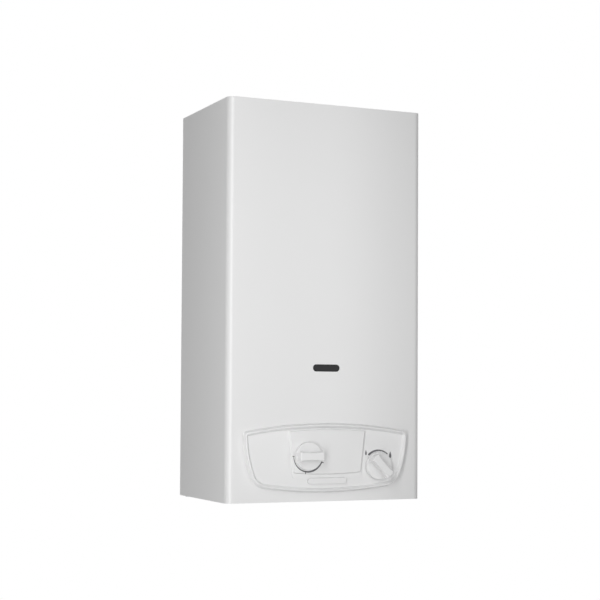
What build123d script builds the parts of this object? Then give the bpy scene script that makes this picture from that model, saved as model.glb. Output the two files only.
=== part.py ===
from build123d import *
import os
from math import ceil, cos, pi, radians, sin, sqrt, tan

os.makedirs("parts", exist_ok=True)

# A wall-hung gas water heater. X runs to the right, Y towards the wall and Z up.
# The origin lies on the wall, in the middle of the four wall-fixing holes.
# Lengths are in millimetres and angles in degrees.

# Casing
casing_width = 310
casing_height = 580
casing_depth = 196
casing_sheet = 1.0
casing_corner = 10
bottom_flange = 16
top_side_flange = 30
top_front_flange = 31
casing_top = casing_height / 2
casing_bottom = -casing_height / 2
casing_inside = casing_width / 2 - casing_sheet

# Clearances
seat_gap = 0.3
running_gap = 0.08
fit_gap = 0.05

# Back plate and wall fixing
plate_sheet = 1.0
plate_flange = 24
wall_hole_spread = 200
wall_hole_rise = 520
wall_hole_radius = 4
bead_width = 16
bead_length = 400
bead_depth = 2.5
bead_spread = 176
bead_draft = 30
plate_width = 2 * (casing_inside - seat_gap)
plate_height = casing_height - 2 * casing_sheet

# Screws that hold the casing
casing_screw_inset = 8
casing_screw_depth = 12
casing_screw_radius = 2
casing_screw_length = 7
casing_screw_head = 3.6
casing_screw_head_height = 2.2

# Sight slot and its window
slot_length = 43
slot_height = 10.5
slot_z = -96.5
window_width = 62
window_height = 24
window_thickness = 2
window_frame_sheet = 0.8
window_frame_margin = 5
window_frame_lip = 4

# Knob axes, and the angles that their pointers rest at, counted from +X towards +Z
selector_x = -31.5
selector_z = -224
selector_rest_angle = 180
gas_x = 84
gas_z = -239.5
gas_rest_angle = 134

# Control console, drawn on the casing's front
console_top = -176.5
console_top_half = 130.5
console_top_corner_z = -188.5
console_side_half = 127.3
console_side_z = -225
console_bottom_half = 113
console_bottom_corner_z = -267.5
console_bottom = -277.3
console_top_corner = 8
console_bottom_corner = 27
rim_height = 7
rim_draft = 18
rim_round = 1.4
rim_roof = 3
rim_land = 1.8
dish_level = 2.6
dish_draft = 35
dish_floor = 1.8
console_lip = 2
groove_inset = 3.3
groove_width = 1.6
peg_spread = 180
peg_z = -208
peg_radius = 2.4
peg_length = 6
clip_radius = 7
clip_thickness = 1
crest_inset = rim_height * tan(radians(rim_draft)) + rim_land
rim_inset = crest_inset + (rim_height - dish_level) * tan(radians(dish_draft))

# Centre fascia and the small bare tab below it
fascia_top_half = 63
fascia_bottom_half = 55
fascia_bottom_corner_z = -249.5
fascia_bottom = -252
fascia_corner = 5
fascia_draft = 33
fascia_level = 6.6
fascia_round = 0.6
ledge_drop = 6
ledge_height = 1.2
tab_width = 62
tab_height = 8.8
tab_z = -260.2
tab_level = 5.2

# Knobs and spindles
knob_radius = 20.3
knob_lift = 0.6
skirt_height = 5
skirt_round = 1.2
grip_height = 12
grip_end_half = 7.2
grip_waist_half = 5.6
grip_round = 1.8
socket_depth = 12
spindle_radius = 4
spindle_flat = 1
spindle_grip = 12
spindle_hole_radius = 6.5

# Water valve, turned about an axis along X
valve_y = -105
valve_z = -224
body_left = -58
body_radius = 26
body_shoulder = 20
dome_radius = 32
dome_length = 10
dome_slope = 6
flange_radius = 41
flange_thickness = 6
diaphragm_left = -14
diaphragm_thickness = 2
chamber_radius = 28
body_chamber = 8
cover_chamber = 10
cover_neck_end = 16
neck_radius = 12
flange_screw_circle = 36.5
flange_screw_count = 6
flange_screw_radius = 2.5
flange_screw_head = 4
flange_screw_head_height = 3
outlet_boss_radius = 10
outlet_boss_length = 10
selector_boss_radius = 9
boss_reach = 44
cover_wall = 1
plug_radius = 4.5
plug_height = 6
plug_seat = 2

# Push rod between the two valves
rod_radius = 2.5
rod_travel = 5
rod_plate_radius = 22
rod_plate_thickness = 3
collar_radius = 7
collar_width = 2
collar_left = 17

# Gas valve
gas_left = 33
gas_right = 98
gas_back = -75
gas_front = -140
gas_top = -205
gas_bottom = -262
gas_round = 6
gas_boss_radius = 12
gas_chamber_radius = 11
solenoid_radius = 12
solenoid_flange = 4
solenoid_length = 18
spring_radius = 6.5
spring_wire = 0.6
spring_turns = 4
spring_spare = 1
valve_seat_bore = 5.5
valve_seat_thickness = 3.2
valve_disc_radius = 8.5
valve_disc_thickness = 4
valve_disc_left = 47
spring_solid = 2 * spring_wire * (spring_turns + 1)
plug_face = valve_disc_left + valve_disc_thickness + rod_travel + spring_solid + spring_spare
gland_radius = 18.5
gland_thickness = 5
gland_screw_circle = 14.8
gland_screw_count = 3
gland_screw_radius = 1.6
gland_screw_head = 2.9
gland_screw_head_height = 1.8
gland_screw_length = 12
pillar_radius = 3.5
pillar_spread = 44
pillar_drop = 29
gland_left = gas_left - gland_thickness
flange_hole = flange_screw_radius + seat_gap

# Micro-switch and its lever
switch_left = 23
switch_length = 28
switch_width = 10
switch_height = 16
lever_pivot_x = 21
lever_pivot_z = -199
lever_knuckle = 1.5
lever_thickness = 1
lever_width = 5
lever_tip_z = -219
lever_pin_radius = 0.75
ear_thickness = 1
ear_drop = 2.2

# Threaded spigots under the heater, for G 1/2 unions
thread_radius = 10.4775
thread_length = 15
spigot_end = casing_bottom + 4
spigot_neck = 9.4
spigot_bore = 6
hex_flats = 24
hex_height = 8
cold_x = -40
cold_boss_radius = 13
cold_boss_bottom = -256
gas_inlet_x = 66
hot_x = -105
hot_hex_top = -258

# Heat exchanger
jacket_half = 110
jacket_back = -26
jacket_front = -154
jacket_sheet = 1.2
jacket_corner = 20
jacket_bottom = -98
jacket_top = 100
fin_bottom = 46
fin_top = 97
fin_thickness = 1.2
fin_pitch = 8.6
fin_count = 24
fin_margin = 3
tube_radius = 8
tube_count = 5
tube_pitch = 22.5
tube_z = 72
tube_reach = 3

# Water pipes
pipe_radius = 6.5
coil_gap = 0.3
coil_bend = 26
coil_corner_count = 6
first_loop_z = -80
side_rise = 10
front_rise = 16
riser_x = 136
riser_bend = 9
hot_knee_z = -205
hot_foot_z = -243
hot_foot_bend = 14
union_z = -120
union_flats = 22
union_length = 14

# Burner
burner_half = 104
burner_back = -32
burner_front = -148
burner_top = -113
burner_bottom = -168
burner_sheet = 1.2
blade_count = 12
blade_pitch = 16.4
blade_top = -116
blade_head_half = 4
blade_head_height = 8
blade_neck_half = 2.2
blade_bulb = 6.4
blade_mouth = 4.2
blade_mouth_depth = 10
port_count = 7
port_width = 6
port_depth = 3
port_pitch = 14

# Gas manifold, injectors and supply pipe
manifold_side = 14
manifold_half = 98
manifold_y = -168
manifold_z = -153
manifold_round = 2
manifold_end = 2
injector_radius = 3
injector_length = 11
supply_radius = 5.5
supply_z = -182
supply_bend = 9

# Ignition
electrode_z = -105
electrode_tip_y = -131
electrode_end_y = -170
electrode_drop = 6
electrode_bend = 3
ceramic_radius = 3.5
ceramic_back = -141
ceramic_front = -162
wire_radius = 1.1
spark_x = -14
sensor_x = 46
electrode_plate_left = -26
electrode_plate_right = 58
electrode_plate_top = -99
electrode_plate_bottom = -125
electrode_plate_sheet = 1.5
lead_radius = 1.8
lead_bend = 7
lead_sweep = 30
lead_terminal_run = 40
lead_front_y = -185
spark_terminal_x = 128
spark_terminal_z = -140
sensor_terminal_x = 140
sensor_terminal_z = -128
thermostat_terminal_x = 145
thermostat_terminal_z = -152
thermostat_entry_y = -40

# Control box and battery box
control_left = 108
control_right = 150
control_depth = 69
control_bottom = -200
control_top = -112
control_round = 3
battery_left = 101
battery_right = 137.6
battery_depth = 40
battery_bottom = -283
battery_top = -212
battery_wall = 1.4
cell_radius = 16.6
cell_length = 61
cell_button_radius = 4.5
cell_button_height = 1.8
lid_thickness = 2
lid_hinge_radius = 1.8
lid_hinge_y = -4
lid_pin_radius = 0.9
lid_ear_width = 3

# Draught hood and flue collar
hood_sheet = 1.0
hood_base_half = 112
hood_base_back = -24
hood_base_front = -156
hood_top_half = 92
hood_top_back = -26
hood_top_front = -150
hood_shoulder = 200
hood_top = 258
hood_lip = 6
flue_radius = 55.25
flue_y = -88
flue_rim = casing_top + 6
collar_sheet = 1
collar_flange = 5
relief_length = 84
relief_height = 30
relief_z = 229
thermostat_radius = 9
thermostat_height = 6
flue_thermostat_x = 77
limit_thermostat_x = 60
limit_thermostat_z = 20

# Brackets
bracket_sheet = 2
bracket_width = 30
bracket_spread = 120
exchanger_bracket_high = 27
exchanger_bracket_low = -90
exchanger_bracket_height = 14
burner_bracket_z = -140
burner_bracket_height = 24
valve_bracket_x = 67
valve_bracket_z = -233
valve_bracket_height = 36
shelf_half_width = 20
shelf_top = hot_hex_top - hex_height
shelf_front = -125
shelf_flange = 20
shelf_sheet = 1.5
shelf_nut_height = 3


def casing_face(proud=0):
    """Plane on the casing's front, seen from the front, or that far in front of it."""
    return Plane.XZ.offset(casing_depth + proud)


def console_profile(inset=0):
    """Console outline drawn in by inset: arched top, leaning sides, round lower corners, bowed bottom."""
    with BuildSketch() as profile:
        with BuildLine():
            top = ThreePointArc(
                (-console_top_half, console_top_corner_z),
                (0, console_top),
                (console_top_half, console_top_corner_z),
            )
            right = ThreePointArc(
                top @ 1,
                (console_side_half, console_side_z),
                (console_bottom_half, console_bottom_corner_z),
            )
            bottom = ThreePointArc(
                right @ 1, (0, console_bottom), (-console_bottom_half, console_bottom_corner_z)
            )
            ThreePointArc(bottom @ 1, (-console_side_half, console_side_z), top @ 0)
        make_face()
        if inset:
            offset(amount=-inset, kind=Kind.INTERSECTION, mode=Mode.REPLACE)
        fillet(profile.vertices().group_by(Axis.Y)[-1], console_top_corner - inset)
        fillet(profile.vertices().group_by(Axis.Y)[0], console_bottom_corner - inset)
    return profile.sketch


def fascia_profile(drop):
    """Centre fascia: a trapezium whose bowed lower edge is lowered by drop, trimmed to the dish."""
    with BuildSketch() as profile:
        with BuildLine():
            sides = Polyline(
                (-fascia_bottom_half, fascia_bottom_corner_z - drop),
                (-fascia_top_half, console_top),
                (fascia_top_half, console_top),
                (fascia_bottom_half, fascia_bottom_corner_z - drop),
            )
            ThreePointArc(sides @ 1, (0, fascia_bottom - drop), sides @ 0)
        make_face()
        fillet(profile.vertices().group_by(Axis.Y)[0], fascia_corner)
        add(console_profile(rim_inset + seat_gap), mode=Mode.INTERSECT)
    return profile.sketch


def round_section(route, radius):
    """Disc of that radius square to a route's start, ready to be swept along it."""
    with BuildSketch(Plane(origin=route @ 0, z_dir=route % 0)) as section:
        Circle(radius)
    return section.sketch


def turn_arcs(start, end):
    """Two arcs that meet smoothly on the way from start to end, each given as a point and its direction."""
    start_point, start_way = start
    end_point, end_way = end
    span = end_point - start_point
    along = span.dot(start_way + end_way)
    turn = 2 * (1 - start_way.dot(end_way))
    reach = (sqrt(along**2 + turn * span.dot(span)) - along) / turn
    meeting = (start_point + end_point + (start_way - end_way) * reach) * 0.5
    first = TangentArc(start_point, meeting, tangent=start_way)
    TangentArc(meeting, end_point, tangent=first % 1)


def least_gap(route, radius):
    """Least clear distance between stretches of one tube that lie over three widths apart along it."""
    tube = Wire(route.edges())
    steps = ceil(2 * tube.length / radius)
    points = [tube @ (step / steps) for step in range(steps + 1)]
    apart = ceil(6 * radius * steps / tube.length)
    nearest = min(
        (points[far] - points[near]).length
        for near in range(steps + 1 - apart)
        for far in range(near + apart, steps + 1)
    )
    return nearest - 2 * radius


# Back plate: a shallow tray of galvanised sheet with two pressed beads and four wall holes
corner_tab = casing_width / 2 - bottom_flange
with BuildPart() as back_plate:
    with BuildSketch(Plane.XZ):
        Rectangle(plate_width, plate_height)
    extrude(amount=plate_flange)
    with BuildSketch(Plane.XZ.offset(plate_sheet)):
        Rectangle(plate_width - 2 * plate_sheet, plate_height - 2 * plate_sheet)
        with Locations((0, casing_bottom)):
            Rectangle(2 * corner_tab, casing_depth)
    extrude(amount=plate_flange, mode=Mode.SUBTRACT)
    with BuildSketch(Plane.XZ.offset(plate_sheet)):
        with GridLocations(bead_spread, 0, 2, 1):
            SlotOverall(bead_length, bead_width, rotation=90)
    extrude(amount=bead_depth, taper=bead_draft)
    with BuildSketch(Plane.XZ):
        with GridLocations(bead_spread, 0, 2, 1):
            SlotOverall(bead_length - 2 * plate_sheet, bead_width - 2 * plate_sheet, rotation=90)
    extrude(amount=bead_depth, taper=bead_draft, mode=Mode.SUBTRACT)
    with BuildSketch(Plane.XZ):
        with GridLocations(wall_hole_spread, wall_hole_rise, 2, 2):
            Circle(wall_hole_radius)
    extrude(amount=2 * plate_sheet, mode=Mode.SUBTRACT)
    with BuildSketch(Plane.XY):
        with Locations((0, -casing_screw_depth)):
            with GridLocations(casing_width - 2 * casing_screw_inset, 0, 2, 1):
                Circle(casing_screw_radius + seat_gap)
    extrude(amount=casing_height, both=True, mode=Mode.SUBTRACT)
back_plate.part.label = "back_plate"
export_step(back_plate.part, "parts/back_plate.step")

# Casing: front and sides folded from one sheet, with turned flanges round the open top and bottom
with BuildPart() as casing:
    with BuildSketch(Plane.XY.offset(casing_bottom)) as casing_plan:
        with Locations((0, -casing_depth / 2)):
            Rectangle(casing_width, casing_depth)
        fillet(casing_plan.vertices().group_by(Axis.Y)[0], casing_corner)
    extrude(amount=casing_height)
    with BuildSketch(Plane.XY.offset(casing_bottom + casing_sheet)) as casing_hollow:
        with Locations((0, (casing_sheet - casing_depth) / 2)):
            Rectangle(2 * casing_inside, casing_depth - casing_sheet)
        fillet(casing_hollow.vertices().group_by(Axis.Y)[0], casing_corner - casing_sheet)
    extrude(amount=casing_height - 2 * casing_sheet, mode=Mode.SUBTRACT)
    with BuildSketch(Plane.XY.offset(casing_bottom)):
        with Locations((0, (bottom_flange - casing_depth) / 2)):
            Rectangle(casing_width - 2 * bottom_flange, casing_depth - bottom_flange)
    extrude(amount=casing_sheet, mode=Mode.SUBTRACT)
    with BuildSketch(Plane.XY.offset(casing_top - casing_sheet)):
        with Locations((0, (top_front_flange - casing_depth) / 2)):
            Rectangle(casing_width - 2 * top_side_flange, casing_depth - top_front_flange)
    extrude(amount=casing_sheet, mode=Mode.SUBTRACT)
    with BuildSketch(casing_face()):
        with Locations((0, slot_z)):
            SlotOverall(slot_length, slot_height)
        with Locations((selector_x, selector_z), (gas_x, gas_z)):
            Circle(spindle_hole_radius)
        with Locations((0, peg_z)):
            with GridLocations(peg_spread, 0, 2, 1):
                Circle(peg_radius + seat_gap)
    extrude(amount=-2 * casing_sheet, mode=Mode.SUBTRACT)
    with BuildSketch(Plane.XY):
        with Locations((0, -casing_screw_depth)):
            with GridLocations(casing_width - 2 * casing_screw_inset, 0, 2, 1):
                Circle(casing_screw_radius + seat_gap)
    extrude(amount=casing_height, both=True, mode=Mode.SUBTRACT)
casing.part.label = "casing"
export_step(casing.part, "parts/casing.step")

# Four screws through the casing's flanges into the back plate's corner tabs
with BuildPart() as casing_screws:
    with BuildSketch(Plane.XY.offset(casing_top)):
        with Locations((0, -casing_screw_depth)):
            with GridLocations(casing_width - 2 * casing_screw_inset, 0, 2, 1):
                Circle(casing_screw_head)
    extrude(amount=casing_screw_head_height)
    with BuildSketch(Plane.XY.offset(casing_top)):
        with Locations((0, -casing_screw_depth)):
            with GridLocations(casing_width - 2 * casing_screw_inset, 0, 2, 1):
                Circle(casing_screw_radius)
    extrude(amount=-casing_screw_length)
    mirror(about=Plane.XY)
casing_screws.part.label = "casing_screws"
export_step(casing_screws.part, "parts/casing_screws.step")

# Smoked window behind the sight slot, and the pressed frame that holds it against the casing
with BuildPart() as sight_window:
    with BuildSketch(casing_face(-casing_sheet)):
        with Locations((0, slot_z)):
            Rectangle(window_width, window_height)
    extrude(amount=-window_thickness)
sight_window.part.label = "sight_window"
export_step(sight_window.part, "parts/sight_window.step")

with BuildPart() as window_frame:
    with BuildSketch(casing_face(-casing_sheet)):
        with Locations((0, slot_z)):
            Rectangle(window_width + 2 * window_frame_margin, window_height + 2 * window_frame_margin)
    extrude(amount=-window_thickness - window_frame_sheet)
    with BuildSketch(casing_face(-casing_sheet)):
        with Locations((0, slot_z)):
            Rectangle(window_width + 2 * fit_gap, window_height + 2 * fit_gap)
    extrude(amount=-window_thickness, mode=Mode.SUBTRACT)
    with BuildSketch(casing_face(-casing_sheet)):
        with Locations((0, slot_z)):
            Rectangle(window_width - 2 * window_frame_lip, window_height - 2 * window_frame_lip)
    extrude(amount=-2 * window_thickness, mode=Mode.SUBTRACT)
window_frame.part.label = "window_frame"
export_step(window_frame.part, "parts/window_frame.step")

# Control console: a moulded hollow rim round a shallow dish, with two pegs that pass through the casing
with BuildPart() as control_console:
    with BuildSketch(casing_face()):
        add(console_profile())
    extrude(amount=rim_height, taper=rim_draft)
    fillet(control_console.faces().sort_by(Axis.Y)[0].edges(), rim_round)
    with BuildSketch(casing_face(dish_level)):
        add(console_profile(rim_inset))
    with BuildSketch(casing_face(rim_height)):
        add(console_profile(crest_inset))
    loft(mode=Mode.SUBTRACT)
    with BuildSketch(casing_face()):
        add(console_profile(console_lip))
    extrude(amount=dish_level - dish_floor, mode=Mode.SUBTRACT)
    with BuildSketch(casing_face(dish_level)):
        with Locations((selector_x, selector_z), (gas_x, gas_z)):
            Circle(spindle_hole_radius)
    extrude(amount=-dish_level, mode=Mode.SUBTRACT)
    with BuildSketch(casing_face(dish_level - dish_floor)):
        with Locations((0, peg_z)):
            with GridLocations(peg_spread, 0, 2, 1):
                Circle(peg_radius)
    extrude(amount=-peg_length)
    with BuildSketch(casing_face()):
        add(console_profile(groove_inset))
        add(console_profile(groove_inset + groove_width), mode=Mode.SUBTRACT)
    extrude(amount=rim_height - rim_roof, mode=Mode.SUBTRACT)
control_console.part.label = "control_console"
export_step(control_console.part, "parts/control_console.step")

with BuildPart() as console_clips:
    with BuildSketch(casing_face(-casing_sheet)):
        with Locations((0, peg_z)):
            with GridLocations(peg_spread, 0, 2, 1):
                Circle(clip_radius)
                Circle(peg_radius + fit_gap, mode=Mode.SUBTRACT)
    extrude(amount=-clip_thickness)
console_clips.part.label = "console_clips"
export_step(console_clips.part, "parts/console_clips.step")

# Centre fascia: a raised apron with sloping sides, and a thin ledge below it that leaves room for the tab
with BuildPart() as centre_fascia:
    with BuildSketch(casing_face(dish_level)):
        add(fascia_profile(ledge_drop))
    extrude(amount=ledge_height)
    with BuildSketch(casing_face(dish_level)):
        add(fascia_profile(0))
    extrude(amount=fascia_level - dish_level, taper=fascia_draft)
    fillet(centre_fascia.faces().sort_by(Axis.Y)[0].edges(), fascia_round)
    with BuildSketch(casing_face(dish_level)):
        with Locations((selector_x, selector_z)):
            Circle(spindle_hole_radius)
    extrude(amount=fascia_level, mode=Mode.SUBTRACT)
    with BuildSketch(casing_face(dish_level)):
        with Locations((0, tab_z)):
            SlotOverall(tab_width + 2 * seat_gap, tab_height + 2 * seat_gap)
    extrude(amount=ledge_height, mode=Mode.SUBTRACT)
centre_fascia.part.label = "centre_fascia"
export_step(centre_fascia.part, "parts/centre_fascia.step")

with BuildPart() as bare_tab:
    with BuildSketch(casing_face(dish_level)):
        with Locations((0, tab_z)):
            SlotOverall(tab_width, tab_height)
    extrude(amount=tab_level - dish_level)
    fillet(bare_tab.faces().sort_by(Axis.Y)[0].edges(), fascia_round)
bare_tab.part.label = "bare_tab"
export_step(bare_tab.part, "parts/bare_tab.step")


def knob_plane(x, z, seat_level, pointer_angle, lift=0):
    """Plane on a knob's back, with its own X along the pointer."""
    pointer = (cos(radians(pointer_angle)), 0, sin(radians(pointer_angle)))
    back_y = -casing_depth - seat_level - knob_lift
    return Plane(origin=(x, back_y - lift, z), x_dir=pointer, z_dir=(0, -1, 0))


def make_knob(x, z, seat_level, pointer_angle):
    """A round skirt with a waisted grip bar across it and a flatted socket for its spindle."""
    with BuildPart() as knob:
        with BuildSketch(knob_plane(x, z, seat_level, pointer_angle)):
            Circle(knob_radius)
        extrude(amount=skirt_height)
        fillet(knob.faces().sort_by(Axis.Y)[0].edges(), skirt_round)
        with BuildSketch(knob_plane(x, z, seat_level, pointer_angle, skirt_height)):
            with BuildLine():
                upper = ThreePointArc(
                    (-knob_radius, grip_end_half), (0, grip_waist_half), (knob_radius, grip_end_half)
                )
                end = Line(upper @ 1, (knob_radius, -grip_end_half))
                lower = ThreePointArc(end @ 1, (0, -grip_waist_half), (-knob_radius, -grip_end_half))
                Line(lower @ 1, upper @ 0)
            make_face()
            Circle(knob_radius - skirt_round, mode=Mode.INTERSECT)
        extrude(amount=grip_height)
        fillet(knob.faces().sort_by(Axis.Y)[0].edges(), grip_round)
        with BuildSketch(knob_plane(x, z, seat_level, pointer_angle)):
            Circle(spindle_radius + running_gap)
            with Locations((0, spindle_radius)):
                Rectangle(2 * knob_radius, 2 * (spindle_flat - running_gap), mode=Mode.SUBTRACT)
        extrude(amount=socket_depth, mode=Mode.SUBTRACT)
    return knob


def make_spindle(x, z, seat_level, pointer_angle, back_y):
    """A round spindle with a flat on the end that the knob grips."""
    seat_y = -casing_depth - seat_level - knob_lift
    with BuildPart() as spindle:
        with BuildSketch(Plane.XZ.offset(-back_y)):
            with Locations((x, z)):
                Circle(spindle_radius)
        extrude(amount=back_y - seat_y + socket_depth - seat_gap)
        with BuildSketch(knob_plane(x, z, seat_level, pointer_angle)):
            with Locations((0, spindle_radius)):
                Rectangle(2 * spindle_radius, 2 * spindle_flat)
        extrude(amount=spindle_grip, mode=Mode.SUBTRACT)
    return spindle


# Temperature selector: its knob stands on the fascia and its spindle enters the water valve's boss
boss_front = valve_y - boss_reach
spindle_entry = 14
temperature_knob = make_knob(selector_x, selector_z, fascia_level, selector_rest_angle)
temperature_knob.part.label = "temperature_knob"
export_step(temperature_knob.part, "parts/temperature_knob.step")
temperature_spindle = make_spindle(
    selector_x, selector_z, fascia_level, selector_rest_angle, boss_front + spindle_entry - seat_gap
)
temperature_spindle.part.label = "temperature_spindle"
export_step(temperature_spindle.part, "parts/temperature_spindle.step")

# Gas control: its knob stands on the dish and its spindle enters the gas valve's boss
gas_boss_front = gas_front - outlet_boss_length
gas_knob = make_knob(gas_x, gas_z, dish_level, gas_rest_angle)
gas_knob.part.label = "gas_knob"
export_step(gas_knob.part, "parts/gas_knob.step")
gas_spindle = make_spindle(
    gas_x, gas_z, dish_level, gas_rest_angle, gas_boss_front + spindle_entry - seat_gap
)
gas_spindle.part.label = "gas_spindle"
export_step(gas_spindle.part, "parts/gas_spindle.step")

# The valves share one axis along X: their sections are drawn on this plane, with X and the radius
valve_section = Plane(origin=(0, valve_y, valve_z), x_dir=(1, 0, 0), z_dir=(0, -1, 0))
valve_axis = Axis((0, valve_y, valve_z), (1, 0, 0))


def across_valve(x):
    """Plane square to the valves' axis at x, facing +X."""
    return Plane(origin=(x, valve_y, valve_z), x_dir=(0, 1, 0), z_dir=(1, 0, 0))


def flange_ring(x, radius):
    """Ring of discs of that radius where the diaphragm flange's screws sit."""
    half_step = 180 / flange_screw_count
    with BuildSketch(across_valve(x)) as ring:
        with PolarLocations(flange_screw_circle, flange_screw_count, start_angle=half_step):
            Circle(radius)
    return ring.sketch


def gland_ring(x, radius):
    """Ring of discs of that radius where the gland's screws sit."""
    with BuildSketch(across_valve(x)) as ring:
        with PolarLocations(gland_screw_circle, gland_screw_count, start_angle=90):
            Circle(radius)
    return ring.sketch


# Water valve body: a turned bowl with bosses for the selector, the inlet, the outlet and the drain plug
flange_left = diaphragm_left - flange_thickness
dome_left = flange_left - dome_length
outlet_end = body_left - outlet_boss_length
plug_x = outlet_end + outlet_boss_length / 2
plug_top = valve_z - outlet_boss_radius - plug_seat
with BuildPart() as water_valve_body:
    with BuildSketch(valve_section):
        with BuildLine():
            Polyline(
                (body_left, 0),
                (body_left, body_shoulder),
                (body_left + dome_slope, body_radius),
                (dome_left - dome_slope, body_radius),
                (dome_left, dome_radius),
                (flange_left, dome_radius),
                (flange_left, flange_radius),
                (diaphragm_left, flange_radius),
                (diaphragm_left, chamber_radius),
                (diaphragm_left - body_chamber, chamber_radius),
                (diaphragm_left - body_chamber, 0),
                close=True,
            )
        make_face()
    revolve(axis=valve_axis)
    with BuildSketch(Plane.XZ.offset(-valve_y)):
        with Locations((selector_x, selector_z)):
            Circle(selector_boss_radius)
    extrude(amount=boss_reach)
    with BuildSketch(Plane.XZ.offset(-boss_front)):
        with Locations((selector_x, selector_z)):
            Circle(spindle_radius + running_gap)
    extrude(amount=-spindle_entry, mode=Mode.SUBTRACT)
    with BuildSketch(Plane.XY.offset(cold_boss_bottom)):
        with Locations((cold_x, valve_y)):
            Circle(cold_boss_radius)
    extrude(amount=valve_z - cold_boss_bottom)
    with BuildSketch(across_valve(outlet_end)):
        Circle(outlet_boss_radius)
    extrude(amount=body_left - outlet_end)
    with BuildSketch(Plane.XY.offset(plug_top)):
        with Locations((plug_x, valve_y)):
            Circle(plug_radius)
    extrude(amount=valve_z - plug_top)
    with BuildSketch(across_valve(outlet_end)):
        Circle(spigot_bore)
    extrude(amount=outlet_boss_length, mode=Mode.SUBTRACT)
    with BuildSketch(Plane.XY.offset(cold_boss_bottom)):
        with Locations((cold_x, valve_y)):
            Circle(spigot_bore)
    extrude(amount=outlet_boss_length, mode=Mode.SUBTRACT)
    extrude(flange_ring(flange_left, flange_hole), amount=flange_thickness, mode=Mode.SUBTRACT)
water_valve_body.part.label = "water_valve_body"
export_step(water_valve_body.part, "parts/water_valve_body.step")

with BuildPart() as drain_plug:
    with BuildSketch(Plane.XY.offset(plug_top)):
        with Locations((plug_x, valve_y)):
            RegularPolygon(plug_radius, 6)
    extrude(amount=-plug_height)
drain_plug.part.label = "drain_plug"
export_step(drain_plug.part, "parts/drain_plug.step")

# Diaphragm clamped between the body's and the cover's flanges
cover_left = diaphragm_left + diaphragm_thickness
cover_flange_right = cover_left + flange_thickness
with BuildPart() as diaphragm:
    with BuildSketch(across_valve(diaphragm_left)):
        Circle(flange_radius)
    extrude(amount=diaphragm_thickness)
    extrude(flange_ring(diaphragm_left, flange_hole), amount=diaphragm_thickness, mode=Mode.SUBTRACT)
diaphragm.part.label = "diaphragm"
export_step(diaphragm.part, "parts/diaphragm.step")

# Water valve cover: a dome with a neck that guides the push rod
cover_chamber_end = cover_left + cover_chamber
dome_right = cover_chamber_end + cover_wall
rod_hole = rod_radius + running_gap
with BuildPart() as water_valve_cover:
    with BuildSketch(valve_section):
        with BuildLine():
            Polyline(
                (cover_left, chamber_radius),
                (cover_left, flange_radius),
                (cover_flange_right, flange_radius),
                (cover_flange_right, dome_radius),
                (dome_right, dome_radius),
                (dome_right + dome_slope, neck_radius),
                (cover_neck_end, neck_radius),
                (cover_neck_end, rod_hole),
                (cover_chamber_end, rod_hole),
                (cover_chamber_end, chamber_radius),
                close=True,
            )
        make_face()
    revolve(axis=valve_axis)
    extrude(flange_ring(cover_left, flange_hole), amount=flange_thickness, mode=Mode.SUBTRACT)
water_valve_cover.part.label = "water_valve_cover"
export_step(water_valve_cover.part, "parts/water_valve_cover.step")

# Screws of both valves: six through the diaphragm flange and three through the gland
with BuildPart() as valve_screws:
    extrude(flange_ring(cover_flange_right, flange_screw_head), amount=flange_screw_head_height)
    extrude(flange_ring(cover_flange_right, flange_screw_radius), amount=flange_left - cover_flange_right)
    extrude(gland_ring(gland_left, gland_screw_head), amount=-gland_screw_head_height)
    extrude(gland_ring(gland_left, gland_screw_radius), amount=gland_screw_length)
valve_screws.part.label = "valve_screws"
export_step(valve_screws.part, "parts/valve_screws.step")

# Push rod: the plate that the diaphragm lifts, the rod and the collar that works the switch
rod_plate_left = cover_left + seat_gap
with BuildPart() as push_rod:
    with BuildSketch(across_valve(rod_plate_left)):
        Circle(rod_plate_radius)
    extrude(amount=rod_plate_thickness)
    with BuildSketch(across_valve(rod_plate_left)):
        Circle(rod_radius)
    extrude(amount=valve_disc_left - rod_plate_left)
    with BuildSketch(across_valve(collar_left)):
        Circle(collar_radius)
    extrude(amount=collar_width)
push_rod.part.label = "push_rod"
export_step(push_rod.part, "parts/push_rod.step")

with BuildPart() as gas_valve_disc:
    with BuildSketch(across_valve(valve_disc_left)):
        Circle(valve_disc_radius)
    extrude(amount=valve_disc_thickness)
gas_valve_disc.part.label = "gas_valve_disc"
export_step(gas_valve_disc.part, "parts/gas_valve_disc.step")

# Gas valve body: a cast block bored from both ends, with the valve's seat between the bores
gas_middle_x = (gas_left + gas_right) / 2
gas_middle_y = (gas_back + gas_front) / 2
seat_right = valve_disc_left - seat_gap
gland_screw_hole = gland_screw_radius + fit_gap
with BuildPart() as gas_valve_body:
    with BuildSketch(Plane.XY.offset(gas_bottom)):
        with Locations((gas_middle_x, gas_middle_y)):
            RectangleRounded(gas_right - gas_left, gas_back - gas_front, gas_round)
    extrude(amount=gas_top - gas_bottom)
    with BuildSketch(Plane.XZ.offset(-gas_front)):
        with Locations((gas_x, gas_z)):
            Circle(gas_boss_radius)
    extrude(amount=outlet_boss_length)
    with BuildSketch(Plane.XZ.offset(-gas_boss_front)):
        with Locations((gas_x, gas_z)):
            Circle(spindle_radius + running_gap)
    extrude(amount=-spindle_entry, mode=Mode.SUBTRACT)
    with BuildSketch(across_valve(gas_left)):
        Circle(gas_chamber_radius)
    extrude(amount=seat_right - valve_seat_thickness - gas_left, mode=Mode.SUBTRACT)
    with BuildSketch(across_valve(gas_left)):
        Circle(valve_seat_bore)
    extrude(amount=seat_right - gas_left, mode=Mode.SUBTRACT)
    with BuildSketch(across_valve(seat_right)):
        Circle(gas_chamber_radius)
    extrude(amount=gas_right - seat_right, mode=Mode.SUBTRACT)
    extrude(gland_ring(gas_left, gland_screw_hole), amount=gland_screw_length, mode=Mode.SUBTRACT)
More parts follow.
